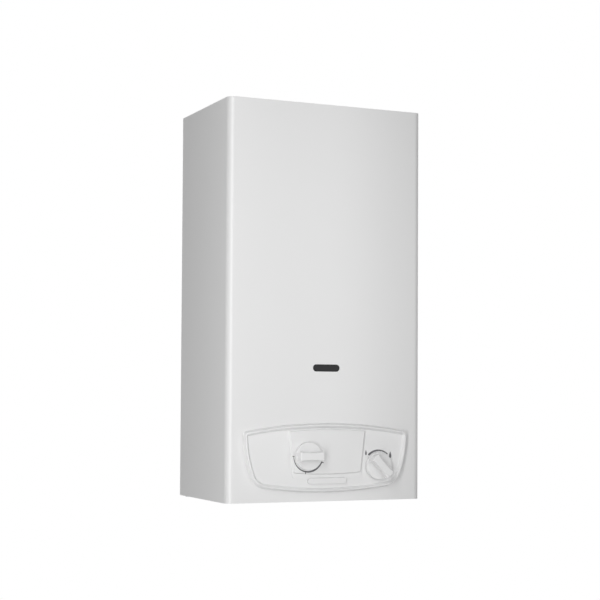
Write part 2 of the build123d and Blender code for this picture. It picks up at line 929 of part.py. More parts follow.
gas_valve_body.part.label = "gas_valve_body"
export_step(gas_valve_body.part, "parts/gas_valve_body.step")

gland_hole = gland_screw_radius + seat_gap
with BuildPart() as gland_flange:
    with BuildSketch(across_valve(gas_left)):
        Circle(gland_radius)
        Circle(rod_hole, mode=Mode.SUBTRACT)
    extrude(amount=-gland_thickness)
    extrude(gland_ring(gas_left, gland_hole), amount=-gland_thickness, mode=Mode.SUBTRACT)
gland_flange.part.label = "gland_flange"
export_step(gland_flange.part, "parts/gland_flange.step")

# Solenoid of the gas valve: its plug closes the right-hand bore and its coil stands outside
with BuildPart() as gas_solenoid:
    with BuildSketch(across_valve(gas_right)):
        Circle(gas_chamber_radius - fit_gap)
    extrude(amount=plug_face - gas_right)
    with BuildSketch(across_valve(gas_right)):
        RegularPolygon(solenoid_radius, 6, major_radius=False)
    extrude(amount=solenoid_flange)
    with BuildSketch(across_valve(gas_right + solenoid_flange)):
        Circle(solenoid_radius)
    extrude(amount=solenoid_length)
    fillet(gas_solenoid.faces().sort_by(Axis.X)[-1].edges(), skirt_round)
gas_solenoid.part.label = "gas_solenoid"
export_step(gas_solenoid.part, "parts/gas_solenoid.step")

# Closing spring between the valve disc and the solenoid's plug
spring_left = valve_disc_left + valve_disc_thickness + spring_wire + fit_gap
spring_length = plug_face - spring_wire - fit_gap - spring_left
spring_slope = spring_length / (2 * pi * spring_turns)


def spring_point(angle):
    """Middle of the spring's wire at an angle of its winding, and the wire's direction there."""
    point = Vector(
        spring_left + spring_slope * angle,
        valve_y + spring_radius * cos(angle),
        valve_z + spring_radius * sin(angle),
    )
    way = Vector(spring_slope, -spring_radius * sin(angle), spring_radius * cos(angle))
    return point, way.normalized()


with BuildPart() as closing_spring:
    with BuildLine() as spring_route:
        for half_turn in range(2 * spring_turns):
            turn_arcs(spring_point(half_turn * pi), spring_point((half_turn + 1) * pi))
    sweep(round_section(spring_route.line, spring_wire), path=spring_route.line)
closing_spring.part.label = "closing_spring"
export_step(closing_spring.part, "parts/closing_spring.step")
print(f"closing spring, least gap to itself: {least_gap(spring_route.line, spring_wire):.2f} mm")

# Two pillars that hold the water valve's flange off the gas valve body
with BuildPart() as valve_pillars:
    with BuildSketch(across_valve(cover_flange_right)):
        with Locations((0, -pillar_drop)):
            with GridLocations(pillar_spread, 0, 2, 1):
                Circle(pillar_radius)
    extrude(amount=gas_left - cover_flange_right)
valve_pillars.part.label = "valve_pillars"
export_step(valve_pillars.part, "parts/valve_pillars.step")

# Micro-switch on the gas valve, with two ears that carry the lever's pin
lever_plane = Plane.XZ.offset(-valve_y)
ear_gap = lever_width / 2 + seat_gap
switch_bottom = gas_top
switch_top = gas_top + switch_height
with BuildPart() as micro_switch:
    with BuildSketch(lever_plane):
        with Locations((switch_left + switch_length / 2, switch_bottom + switch_height / 2)):
            Rectangle(switch_length, switch_height)
    extrude(amount=switch_width / 2, both=True)
    with BuildSketch(lever_plane):
        with Locations((lever_pivot_x, lever_pivot_z)):
            Circle(ear_drop)
            Rectangle(2 * (switch_left - lever_pivot_x), 2 * ear_drop, align=(Align.MIN, Align.CENTER))
    extrude(amount=ear_gap + ear_thickness, both=True)
    with BuildSketch(lever_plane):
        with Locations((switch_left, lever_pivot_z)):
            Rectangle(3 * ear_drop, 3 * ear_drop, align=(Align.MAX, Align.CENTER))
    extrude(amount=ear_gap, both=True, mode=Mode.SUBTRACT)
    with BuildSketch(lever_plane):
        with Locations((lever_pivot_x, lever_pivot_z)):
            Circle(lever_pin_radius + running_gap)
    extrude(amount=switch_width, both=True, mode=Mode.SUBTRACT)
micro_switch.part.label = "micro_switch"
export_step(micro_switch.part, "parts/micro_switch.step")

lever_left = collar_left + collar_width + seat_gap
with BuildPart() as switch_lever:
    with BuildSketch(lever_plane):
        with Locations((lever_pivot_x, lever_pivot_z)):
            Circle(lever_knuckle)
        with Locations((lever_left + lever_thickness / 2, (lever_tip_z + lever_pivot_z) / 2)):
            Rectangle(lever_thickness, lever_pivot_z - lever_tip_z)
    extrude(amount=lever_width / 2, both=True)
    with BuildSketch(lever_plane):
        with Locations((lever_pivot_x, lever_pivot_z)):
            Circle(lever_pin_radius)
    extrude(amount=ear_gap + ear_thickness, both=True)
switch_lever.part.label = "switch_lever"
export_step(switch_lever.part, "parts/switch_lever.step")


def make_spigot(x, top):
    """A hexagon with a neck and a bored thread below it, where a union screws on."""
    with BuildPart() as spigot:
        with BuildSketch(Plane.XY.offset(top)):
            with Locations((x, valve_y)):
                RegularPolygon(hex_flats / 2, 6, major_radius=False)
        extrude(amount=-hex_height)
        with BuildSketch(Plane.XY.offset(spigot_end)):
            with Locations((x, valve_y)):
                Circle(spigot_neck)
        extrude(amount=top - hex_height - spigot_end)
        with BuildSketch(Plane.XY.offset(spigot_end)):
            with Locations((x, valve_y)):
                Circle(thread_radius)
        extrude(amount=thread_length)
        with BuildSketch(Plane.XY.offset(spigot_end)):
            with Locations((x, valve_y)):
                Circle(spigot_bore)
        extrude(amount=top - spigot_end, mode=Mode.SUBTRACT)
    return spigot


cold_water_spigot = make_spigot(cold_x, cold_boss_bottom)
cold_water_spigot.part.label = "cold_water_spigot"
export_step(cold_water_spigot.part, "parts/cold_water_spigot.step")
gas_inlet_spigot = make_spigot(gas_inlet_x, gas_bottom)
gas_inlet_spigot.part.label = "gas_inlet_spigot"
export_step(gas_inlet_spigot.part, "parts/gas_inlet_spigot.step")
hot_water_spigot = make_spigot(hot_x, hot_hex_top)
hot_water_spigot.part.label = "hot_water_spigot"
export_step(hot_water_spigot.part, "parts/hot_water_spigot.step")

# Combustion chamber jacket: a round-cornered sleeve with holes for the tubes
jacket_middle = (jacket_back + jacket_front) / 2
jacket_length = jacket_back - jacket_front
tube_span = (tube_count - 1) * tube_pitch


def tube_plane(x):
    """Plane square to the tubes at x, facing +X, centred on the middle tube."""
    return Plane(origin=(x, jacket_middle, tube_z), x_dir=(0, 1, 0), z_dir=(1, 0, 0))


with BuildPart() as chamber_jacket:
    with BuildSketch(Plane.XY.offset(jacket_bottom)):
        with Locations((0, jacket_middle)):
            RectangleRounded(2 * jacket_half, jacket_length, jacket_corner)
            RectangleRounded(
                2 * (jacket_half - jacket_sheet),
                jacket_length - 2 * jacket_sheet,
                jacket_corner - jacket_sheet,
                mode=Mode.SUBTRACT,
            )
    extrude(amount=jacket_top - jacket_bottom)
    with BuildSketch(tube_plane(0)):
        with GridLocations(tube_pitch, 0, tube_count, 1):
            Circle(tube_radius + fit_gap)
    extrude(amount=casing_width, both=True, mode=Mode.SUBTRACT)
chamber_jacket.part.label = "chamber_jacket"
export_step(chamber_jacket.part, "parts/chamber_jacket.step")

# Fin block: upright copper fins brazed on five tubes
tube_end = jacket_half + tube_reach
fin_start = -(fin_count - 1) * fin_pitch / 2 - fin_thickness / 2
with BuildPart() as fin_block:
    for index in range(fin_count):
        with BuildSketch(Plane.YZ.offset(fin_start + index * fin_pitch)):
            with Locations((jacket_middle, (fin_bottom + fin_top) / 2)):
                Rectangle(jacket_length - 2 * jacket_sheet - 2 * fin_margin, fin_top - fin_bottom)
    extrude(amount=fin_thickness)
    with BuildSketch(tube_plane(-tube_end)):
        with GridLocations(tube_pitch, 0, tube_count, 1):
            Circle(tube_radius)
    extrude(amount=2 * tube_end)
fin_block.part.label = "fin_block"
export_step(fin_block.part, "parts/fin_block.step")

# Return bends that join the tubes in pairs, counted from the front: by turns on the left and on the right
with BuildPart() as return_bends:
    for index in range(tube_count - 1):
        side = -1 if index % 2 == 0 else 1
        tube_y = jacket_middle - tube_span / 2 + index * tube_pitch
        with BuildSketch(tube_plane(side * tube_end)):
            with Locations((tube_y - jacket_middle, 0)):
                Circle(tube_radius)
        bend_axis = Axis((side * tube_end, tube_y + tube_pitch / 2, tube_z), (0, 0, side))
        revolve(axis=bend_axis, revolution_arc=180)
return_bends.part.label = "return_bends"
export_step(return_bends.part, "parts/return_bends.step")

# Feed coil: rises on the left, winds round the jacket and enters the front tube on the right
coil_x = jacket_half + pipe_radius + coil_gap
coil_back = jacket_back + pipe_radius + coil_gap
coil_front = jacket_front - pipe_radius - coil_gap
front_tube_y = jacket_middle - tube_span / 2
back_tube_y = jacket_middle + tube_span / 2
coil_corners = ((-coil_x, coil_back), (coil_x, coil_back), (coil_x, coil_front), (-coil_x, coil_front))
coil_points = [(-coil_x, valve_y, union_z), (-coil_x, valve_y, first_loop_z)]
coil_height = first_loop_z + side_rise / 2
for index in range(coil_corner_count):
    corner_x, corner_y = coil_corners[index % 4]
    coil_points.append((corner_x, corner_y, coil_height))
    coil_height += front_rise if index % 2 == 0 else side_rise
coil_points += [
    (coil_x, front_tube_y, coil_height),
    (riser_x, front_tube_y, coil_height + 2 * riser_bend),
    (riser_x, front_tube_y, tube_z),
    (tube_end, front_tube_y, tube_z),
]
coil_bends = [pipe_radius * 2] + [coil_bend] * coil_corner_count + [riser_bend] * 3
with BuildPart() as feed_coil:
    with BuildLine() as coil_route:
        FilletPolyline(*coil_points, radius=coil_bends)
    sweep(round_section(coil_route.line, pipe_radius), path=coil_route.line)
feed_coil.part.label = "feed_coil"
export_step(feed_coil.part, "parts/feed_coil.step")
print(f"feed coil, least gap to itself: {least_gap(coil_route.line, pipe_radius):.2f} mm")

# Cold feed pipe from the water valve to the coil, and the hot water pipe down to its spigot
with BuildPart() as cold_feed_pipe:
    with BuildLine() as feed_route:
        FilletPolyline(
            (outlet_end, valve_y, valve_z),
            (-coil_x, valve_y, valve_z),
            (-coil_x, valve_y, union_z),
            radius=2 * riser_bend,
        )
    sweep(round_section(feed_route.line, pipe_radius), path=feed_route.line)
cold_feed_pipe.part.label = "cold_feed_pipe"
export_step(cold_feed_pipe.part, "parts/cold_feed_pipe.step")

with BuildPart() as hot_water_pipe:
    with BuildLine() as hot_route:
        FilletPolyline(
            (-tube_end, back_tube_y, tube_z),
            (-riser_x, back_tube_y, tube_z),
            (-riser_x, back_tube_y, hot_knee_z),
            (hot_x, valve_y, hot_foot_z),
            (hot_x, valve_y, hot_hex_top),
            radius=(riser_bend, 3 * riser_bend, hot_foot_bend),
        )
    sweep(round_section(hot_route.line, pipe_radius), path=hot_route.line)
hot_water_pipe.part.label = "hot_water_pipe"
export_step(hot_water_pipe.part, "parts/hot_water_pipe.step")


def union_nut(place):
    """Hexagon with a bore for a pipe on the given plane."""
    with BuildSketch(place) as nut:
        RegularPolygon(union_flats / 2, 6, major_radius=False, rotation=30)
        Circle(pipe_radius + fit_gap, mode=Mode.SUBTRACT)
    return nut.sketch


# Union nuts: at the valve's outlet, under the coil and above the hot water spigot
coil_union = Plane((-coil_x, valve_y, union_z))
hot_union = Plane((hot_x, valve_y, hot_hex_top))
with BuildPart() as union_nuts:
    extrude(union_nut(across_valve(outlet_end)), amount=-union_length)
    extrude(union_nut(coil_union), amount=union_length / 2, both=True)
    extrude(union_nut(hot_union), amount=union_length / 2)
union_nuts.part.label = "union_nuts"
export_step(union_nuts.part, "parts/union_nuts.step")

# Burner frame: an open box of sheet with a row of air holes for the injectors
burner_middle = (burner_back + burner_front) / 2
blade_length = burner_back - burner_front - 2 * burner_sheet
with BuildPart() as burner_frame:
    with BuildSketch(Plane.XY.offset(burner_bottom)):
        with Locations((0, burner_middle)):
            Rectangle(2 * burner_half, burner_back - burner_front)
            Rectangle(2 * (burner_half - burner_sheet), blade_length, mode=Mode.SUBTRACT)
    extrude(amount=burner_top - burner_bottom)
    with BuildSketch(Plane.XZ.offset(-burner_front)):
        with Locations((0, manifold_z)):
            with GridLocations(blade_pitch, 0, blade_count, 1):
                Circle(blade_bulb - burner_sheet)
    extrude(amount=-2 * burner_sheet, mode=Mode.SUBTRACT)
burner_frame.part.label = "burner_frame"
export_step(burner_frame.part, "parts/burner_frame.step")

# Burner blades: a bulb that takes the gas and air, a thin neck and a slotted head
with BuildPart() as burner_blades:
    with BuildSketch(Plane.XZ.offset(-burner_front - burner_sheet)):
        with GridLocations(blade_pitch, 0, blade_count, 1):
            with Locations((0, manifold_z)):
                Circle(blade_bulb)
            with Locations((0, (blade_top + manifold_z) / 2)):
                Rectangle(2 * blade_neck_half, blade_top - manifold_z)
            with Locations((0, blade_top - blade_head_height / 2)):
                Rectangle(2 * blade_head_half, blade_head_height)
    extrude(amount=-blade_length)
    with BuildSketch(Plane.XZ.offset(-burner_front - burner_sheet)):
        with Locations((0, manifold_z)):
            with GridLocations(blade_pitch, 0, blade_count, 1):
                Circle(blade_mouth)
    extrude(amount=-blade_mouth_depth, mode=Mode.SUBTRACT)
    with BuildSketch(Plane.XY.offset(blade_top)):
        with Locations((0, burner_middle)):
            with GridLocations(0, port_pitch, 1, port_count):
                Rectangle(2 * burner_half, port_width)
    extrude(amount=-port_depth, mode=Mode.SUBTRACT)
burner_blades.part.label = "burner_blades"
export_step(burner_blades.part, "parts/burner_blades.step")

# Gas manifold along the burner's front, closed at each end by a plate that reaches back to the burner
manifold_front = manifold_y - manifold_side / 2
manifold_back = manifold_y + manifold_side / 2
with BuildPart() as gas_manifold:
    with BuildSketch(Plane.YZ):
        with Locations((manifold_y, manifold_z)):
            RectangleRounded(manifold_side, manifold_side, manifold_round)
    extrude(amount=manifold_half, both=True)
    with BuildSketch(Plane.YZ.offset(manifold_half)):
        with Locations(((burner_front + manifold_front) / 2, manifold_z)):
            Rectangle(burner_front - manifold_front, manifold_side)
    extrude(amount=manifold_end)
    mirror(about=Plane.YZ)
gas_manifold.part.label = "gas_manifold"
export_step(gas_manifold.part, "parts/gas_manifold.step")

with BuildPart() as injectors:
    with BuildSketch(Plane.XZ.offset(-manifold_back)):
        with Locations((0, manifold_z)):
            with GridLocations(blade_pitch, 0, blade_count, 1):
                RegularPolygon(injector_radius, 6)
    extrude(amount=-injector_length)
injectors.part.label = "injectors"
export_step(injectors.part, "parts/injectors.step")

# Gas supply pipe from the top of the gas valve to the underside of the manifold
with BuildPart() as gas_supply_pipe:
    with BuildLine() as supply_route:
        FilletPolyline(
            (gas_inlet_x, valve_y, gas_top),
            (gas_inlet_x, valve_y, supply_z),
            (gas_inlet_x, manifold_y, supply_z),
            (gas_inlet_x, manifold_y, manifold_z - manifold_side / 2),
            radius=supply_bend,
        )
    sweep(round_section(supply_route.line, supply_radius), path=supply_route.line)
gas_supply_pipe.part.label = "gas_supply_pipe"
export_step(gas_supply_pipe.part, "parts/gas_supply_pipe.step")


def make_electrode(x, drop):
    """A wire in a ceramic sleeve; the spark electrode's tip turns down towards the burner."""
    with BuildPart() as electrode:
        with BuildSketch(Plane.XZ.offset(-ceramic_back)):
            with Locations((x, electrode_z)):
                Circle(ceramic_radius)
        extrude(amount=ceramic_back - ceramic_front)
        with BuildSketch(Plane.XZ.offset(-ceramic_front)):
            with Locations((x, electrode_z)):
                Circle(wire_radius)
        extrude(amount=ceramic_front - electrode_end_y)
        with BuildLine() as tip_route:
            FilletPolyline(
                (x, ceramic_back, electrode_z),
                (x, electrode_tip_y, electrode_z),
                (x, electrode_tip_y + drop / 2, electrode_z - drop),
                radius=electrode_bend,
            )
        sweep(round_section(tip_route.line, wire_radius), path=tip_route.line)
    return electrode


spark_electrode = make_electrode(spark_x, electrode_drop)
spark_electrode.part.label = "spark_electrode"
export_step(spark_electrode.part, "parts/spark_electrode.step")
flame_sensor = make_electrode(sensor_x, electrode_drop / 2)
flame_sensor.part.label = "flame_sensor"
export_step(flame_sensor.part, "parts/flame_sensor.step")

# Plate on the burner's front that carries both electrodes
electrode_plate_x = (electrode_plate_left + electrode_plate_right) / 2
electrode_plate_z = (electrode_plate_top + electrode_plate_bottom) / 2
electrode_plate_width = electrode_plate_right - electrode_plate_left
electrode_plate_height = electrode_plate_top - electrode_plate_bottom
with BuildPart() as electrode_plate:
    with BuildSketch(Plane.XZ.offset(-burner_front)):
        with Locations((electrode_plate_x, electrode_plate_z)):
            Rectangle(electrode_plate_width, electrode_plate_height)
        with Locations((spark_x, electrode_z), (sensor_x, electrode_z)):
            Circle(ceramic_radius + fit_gap, mode=Mode.SUBTRACT)
    extrude(amount=electrode_plate_sheet)
electrode_plate.part.label = "electrode_plate"
export_step(electrode_plate.part, "parts/electrode_plate.step")

# Ignition control box on the back plate
control_middle_x = (control_left + control_right) / 2
with BuildPart() as control_box:
    with BuildSketch(Plane.XZ.offset(plate_sheet)):
        with Locations((control_middle_x, (control_top + control_bottom) / 2)):
            RectangleRounded(control_right - control_left, control_top - control_bottom, control_round)
    extrude(amount=control_depth)
control_box.part.label = "control_box"
export_step(control_box.part, "parts/control_box.step")
control_front = -plate_sheet - control_depth

# Battery box under the control box, open below, with ears for the lid's pin
battery_x = (battery_left + battery_right) / 2
battery_width = battery_right - battery_left
battery_back = -plate_sheet
battery_front = battery_back - battery_depth
battery_y = (battery_back + battery_front) / 2
lid_top = battery_bottom - seat_gap
lid_hinge_z = lid_top - lid_thickness / 2
lid_plane = Plane.YZ.offset(battery_x)
with BuildPart() as battery_box:
    with BuildSketch(Plane.XY.offset(battery_bottom)):
        with Locations((battery_x, battery_y)):
            Rectangle(battery_width, battery_depth)
    extrude(amount=battery_top - battery_bottom)
    with BuildSketch(Plane.XY.offset(battery_bottom)):
        with Locations((battery_x, battery_y)):
            Rectangle(battery_width - 2 * battery_wall, battery_depth - 2 * battery_wall)
    extrude(amount=battery_top - battery_bottom - battery_wall, mode=Mode.SUBTRACT)
    for ear_left in (battery_left, battery_right - lid_ear_width):
        with BuildSketch(Plane.YZ.offset(ear_left)):
            with Locations((lid_hinge_y, lid_hinge_z)):
                Circle(lid_hinge_radius)
                Rectangle(2 * lid_hinge_radius, 2 * lid_hinge_radius, align=(Align.CENTER, Align.MIN))
        extrude(amount=lid_ear_width)
    with BuildSketch(lid_plane):
        with Locations((lid_hinge_y, lid_hinge_z)):
            Circle(lid_pin_radius + running_gap)
    extrude(amount=battery_width, both=True, mode=Mode.SUBTRACT)
battery_box.part.label = "battery_box"
export_step(battery_box.part, "parts/battery_box.step")

# Battery lid, hinged at the back on a moulded pin
lid_front = battery_front
lid_back = lid_hinge_y - lid_hinge_radius - seat_gap
lid_half = battery_width / 2 - lid_ear_width - seat_gap
lid_tongue = lid_hinge_y - lid_back + lid_hinge_radius
with BuildPart() as battery_lid:
    with BuildSketch(Plane.XY.offset(lid_top)):
        with Locations((battery_x, (lid_front + lid_back) / 2)):
            Rectangle(battery_width, lid_back - lid_front)
    extrude(amount=-lid_thickness)
    with BuildSketch(Plane.XY.offset(lid_top)):
        with Locations((battery_x, lid_hinge_y)):
            Rectangle(2 * lid_half, lid_tongue, align=(Align.CENTER, Align.MAX))
    extrude(amount=-lid_thickness)
    with BuildSketch(lid_plane):
        with Locations((lid_hinge_y, lid_hinge_z)):
            Circle(lid_thickness / 2)
    extrude(amount=lid_half, both=True)
    with BuildSketch(lid_plane):
        with Locations((lid_hinge_y, lid_hinge_z)):
            Circle(lid_pin_radius)
    extrude(amount=battery_width / 2, both=True)
battery_lid.part.label = "battery_lid"
export_step(battery_lid.part, "parts/battery_lid.step")

with BuildPart() as battery_cell:
    with BuildSketch(Plane.XY.offset(lid_top + seat_gap)):
        with Locations((battery_x, battery_y)):
            Circle(cell_radius)
    extrude(amount=cell_length)
    with BuildSketch(Plane.XY.offset(lid_top + seat_gap + cell_length)):
        with Locations((battery_x, battery_y)):
            Circle(cell_button_radius)
    extrude(amount=cell_button_height)
battery_cell.part.label = "battery_cell"
export_step(battery_cell.part, "parts/battery_cell.step")


def hood_form(inset):
    """The hood's tapered skirt with its straight upper box, drawn in by inset."""
    top_depth = hood_top_back - hood_top_front - 2 * inset
    with BuildPart() as form:
        with BuildSketch(Plane.XY.offset(jacket_top + inset)):
            with Locations((0, (hood_base_back + hood_base_front) / 2)):
                Rectangle(2 * (hood_base_half - inset), hood_base_back - hood_base_front - 2 * inset)
        with BuildSketch(Plane.XY.offset(hood_shoulder)) as shoulder:
            with Locations((0, (hood_top_back + hood_top_front) / 2)):
                Rectangle(2 * (hood_top_half - inset), top_depth)
        loft()
        extrude(shoulder.sketch, amount=hood_top - hood_shoulder - inset)
    return form.part


# Draught hood: gathers the flue gas above the fins, with a relief opening in each side
with BuildPart() as draught_hood:
    add(hood_form(0))
    add(hood_form(hood_sheet), mode=Mode.SUBTRACT)
    with BuildSketch(Plane.XY.offset(jacket_top)):
        with Locations((0, jacket_middle)):
            RectangleRounded(
                2 * (jacket_half - hood_lip),
                jacket_length - 2 * hood_lip,
                jacket_corner - hood_lip,
            )
    extrude(amount=2 * hood_sheet, mode=Mode.SUBTRACT)
    with BuildSketch(Plane.YZ):
        with Locations(((hood_top_back + hood_top_front) / 2, relief_z)):
            SlotOverall(relief_length, relief_height)
    extrude(amount=casing_width / 2, both=True, mode=Mode.SUBTRACT)
    with BuildSketch(Plane.XY.offset(hood_top)):
        with Locations((0, flue_y)):
            Circle(flue_radius)
    extrude(amount=-2 * hood_sheet, mode=Mode.SUBTRACT)
draught_hood.part.label = "draught_hood"
export_step(draught_hood.part, "parts/draught_hood.step")

# Flue collar on the hood, which takes the flue pipe inside it
with BuildPart() as flue_collar:
    with BuildSketch(Plane.XY.offset(hood_top)):
        with Locations((0, flue_y)):
            Circle(flue_radius + collar_flange)
    extrude(amount=collar_sheet)
    with BuildSketch(Plane.XY.offset(hood_top)):
        with Locations((0, flue_y)):
            Circle(flue_radius + collar_sheet)
    extrude(amount=flue_rim - hood_top)
    with BuildSketch(Plane.XY.offset(hood_top)):
        with Locations((0, flue_y)):
            Circle(flue_radius)
    extrude(amount=flue_rim - hood_top, mode=Mode.SUBTRACT)
flue_collar.part.label = "flue_collar"
export_step(flue_collar.part, "parts/flue_collar.step")

# Two disc thermostats: one on the hood for spilling flue gas, one on the jacket against overheating
with BuildPart() as thermostats:
    with BuildSketch(Plane.XY.offset(hood_top)):
        with Locations((flue_thermostat_x, flue_y)):
            Circle(thermostat_radius)
    extrude(amount=thermostat_height)
    with BuildSketch(Plane.XZ.offset(-jacket_front)):
        with Locations((limit_thermostat_x, limit_thermostat_z)):
            Circle(thermostat_radius)
    extrude(amount=thermostat_height)
thermostats.part.label = "thermostats"
export_step(thermostats.part, "parts/thermostats.step")


def make_lead(radii, *points):
    """A round lead along straight runs joined by arcs of the given radii."""
    with BuildPart() as lead:
        with BuildLine() as lead_route:
            FilletPolyline(*points, radius=radii)
        sweep(round_section(lead_route.line, lead_radius), path=lead_route.line)
    return lead.part


# Leads from the electrodes to the front of the control box
with BuildPart() as spark_lead:
    add(
        make_lead(
            (lead_bend, lead_sweep, lead_sweep, lead_sweep),
            (spark_x, electrode_end_y, electrode_z),
            (spark_x, lead_front_y, electrode_z),
            (spark_x + 50, lead_front_y - 1, electrode_z - 20),
            (spark_terminal_x, lead_front_y + 8, spark_terminal_z + 4),
            (spark_terminal_x, control_front - lead_terminal_run, spark_terminal_z),
            (spark_terminal_x, control_front, spark_terminal_z),
        )
    )
spark_lead.part.label = "spark_lead"
export_step(spark_lead.part, "parts/spark_lead.step")

with BuildPart() as sensor_lead:
    add(
        make_lead(
            (lead_bend, lead_sweep, lead_sweep, lead_sweep),
            (sensor_x, electrode_end_y, electrode_z),
            (sensor_x, lead_front_y, electrode_z),
            (sensor_x + 40, lead_front_y - 1, electrode_z - 8),
            (sensor_terminal_x, lead_front_y + 12, sensor_terminal_z + 4),
            (sensor_terminal_x, control_front - lead_terminal_run, sensor_terminal_z),
            (sensor_terminal_x, control_front, sensor_terminal_z),
        )
    )
sensor_lead.part.label = "sensor_lead"
export_step(sensor_lead.part, "parts/sensor_lead.step")

# Leads from both thermostats, down the right-hand side to the control box
with BuildPart() as thermostat_leads:
    add(
        make_lead(
            (lead_bend, lead_sweep, lead_sweep, lead_sweep),
            (limit_thermostat_x, jacket_front - thermostat_height, limit_thermostat_z),
            (limit_thermostat_x, lead_front_y + 6, limit_thermostat_z),
            (limit_thermostat_x + 45, lead_front_y + 5, limit_thermostat_z - 40),
            (thermostat_terminal_x, lead_front_y + 20, limit_thermostat_z - 90),
            (thermostat_terminal_x, control_front - lead_terminal_run, thermostat_terminal_z),
            (thermostat_terminal_x, control_front, thermostat_terminal_z),
        )
    )
    add(
        make_lead(
            (lead_bend, lead_sweep, lead_sweep),
            (flue_thermostat_x, flue_y, hood_top + thermostat_height),
            (flue_thermostat_x, flue_y, casing_top - 12),
            (thermostat_terminal_x, flue_y + 10, casing_top - 30),
            (control_middle_x, thermostat_entry_y, control_top + 90),
            (control_middle_x, thermostat_entry_y, control_top),
        )
    )
thermostat_leads.part.label = "thermostat_leads"
export_step(thermostat_leads.part, "parts/thermostat_leads.step")

# Leads from the micro-switch, the solenoid and the battery box to the control box
with BuildPart() as control_leads:
    add(
        make_lead(
            (lead_bend, lead_sweep, lead_bend),
            (switch_left + 20, valve_y, switch_top),
            (switch_left + 20, valve_y, switch_top + 12),
            (switch_left + 48, valve_y + 35, supply_z + 5),
            (control_left - 14, valve_y + 62, supply_z + 5),
            (control_left, valve_y + 62, supply_z + 5),
        )
    )
    add(
        make_lead(
            (lead_bend, lead_bend),
            (gas_right + 10, valve_y, valve_z + solenoid_radius),
            (gas_right + 10, valve_y, control_bottom + 12),
            (control_middle_x, valve_y + 8, control_bottom + 12),
            (control_middle_x, control_front, control_bottom + 12),
        )
    )
    add(
        make_lead(
            (lead_bend / 2, lead_bend / 2),
            (battery_x - 6, battery_y, battery_top),
            (battery_x - 6, battery_y, (battery_top + control_bottom) / 2),
            (battery_x + 6, battery_y, (battery_top + control_bottom) / 2),
            (battery_x + 6, battery_y, control_bottom),
        )
    )
control_leads.part.label = "control_leads"
export_step(control_leads.part, "parts/control_leads.step")


def bracket_profile(x, z, carried_y):
    """Folded bracket at height z, from the back plate to a piece whose back is at carried_y."""
    with BuildSketch(Plane.XY.offset(z)) as profile:
        with Locations((x, -plate_sheet - bracket_sheet / 2), (x, carried_y + bracket_sheet / 2)):
            Rectangle(bracket_width, bracket_sheet)
        with Locations((x, (carried_y - plate_sheet) / 2)):
            Rectangle(bracket_sheet, -plate_sheet - carried_y)
    return profile.sketch


# Brackets on the back plate: four for the heat exchanger, two for the burner, one for the valves
with BuildPart() as support_brackets:
    for bracket_x in (-bracket_spread / 2, bracket_spread / 2):
        for bracket_z in (exchanger_bracket_low, exchanger_bracket_high):
            exchanger_bracket = bracket_profile(bracket_x, bracket_z, jacket_back)
            extrude(exchanger_bracket, amount=exchanger_bracket_height / 2, both=True)
        burner_bracket = bracket_profile(bracket_x, burner_bracket_z, burner_back)
        extrude(burner_bracket, amount=burner_bracket_height / 2, both=True)
    valve_bracket = bracket_profile(valve_bracket_x, valve_bracket_z, gas_back)
    extrude(valve_bracket, amount=valve_bracket_height / 2, both=True)
support_brackets.part.label = "support_brackets"
export_step(support_brackets.part, "parts/support_brackets.step")

# Shelf that holds the hot water spigot: a folded sheet, clamped between the hexagon and a thin nut
with BuildPart() as outlet_shelf:
    with BuildSketch(Plane.XY.offset(shelf_top)):
        with Locations((hot_x, (shelf_front - plate_sheet) / 2)):
            Rectangle(2 * shelf_half_width, -plate_sheet - shelf_front)
        with Locations((hot_x, valve_y)):
            Circle(spigot_neck + seat_gap, mode=Mode.SUBTRACT)
    extrude(amount=-shelf_sheet)
    with BuildSketch(Plane.XY.offset(shelf_top)):
        with Locations((hot_x, -plate_sheet - shelf_sheet / 2)):
            Rectangle(2 * shelf_half_width, shelf_sheet)
    extrude(amount=shelf_flange)
outlet_shelf.part.label = "outlet_shelf"
export_step(outlet_shelf.part, "parts/outlet_shelf.step")

with BuildPart() as shelf_nut:
    with BuildSketch(Plane.XY.offset(shelf_top - shelf_sheet)):
        with Locations((hot_x, valve_y)):
            RegularPolygon(hex_flats / 2, 6, major_radius=False)
            Circle(spigot_neck + fit_gap, mode=Mode.SUBTRACT)
    extrude(amount=-shelf_nut_height)
shelf_nut.part.label = "shelf_nut"
export_step(shelf_nut.part, "parts/shelf_nut.step")
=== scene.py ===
from math import atan2, cos, pi, radians, sin, tau

import bmesh
import bpy
from mathutils import Matrix, Vector


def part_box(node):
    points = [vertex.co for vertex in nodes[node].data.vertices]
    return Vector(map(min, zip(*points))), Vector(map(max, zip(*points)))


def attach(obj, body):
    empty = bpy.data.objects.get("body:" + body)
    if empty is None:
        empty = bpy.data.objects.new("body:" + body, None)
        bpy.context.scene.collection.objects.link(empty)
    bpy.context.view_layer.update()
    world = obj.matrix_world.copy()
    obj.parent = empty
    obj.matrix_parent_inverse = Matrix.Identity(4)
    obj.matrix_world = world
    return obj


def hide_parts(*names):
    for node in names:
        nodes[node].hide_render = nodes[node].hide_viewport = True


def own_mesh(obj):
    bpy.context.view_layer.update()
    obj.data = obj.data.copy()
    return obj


bl_info = {
    "name": "Gas Water Heater",
    "version": (1, 0, 0),
    "blender": (4, 5, 0),
    "location": "View3D > Sidebar > Heater",
    "description": "Finishes, threads and printed marks for the frame of a wall-hung gas water heater",
    "category": "Object",
}

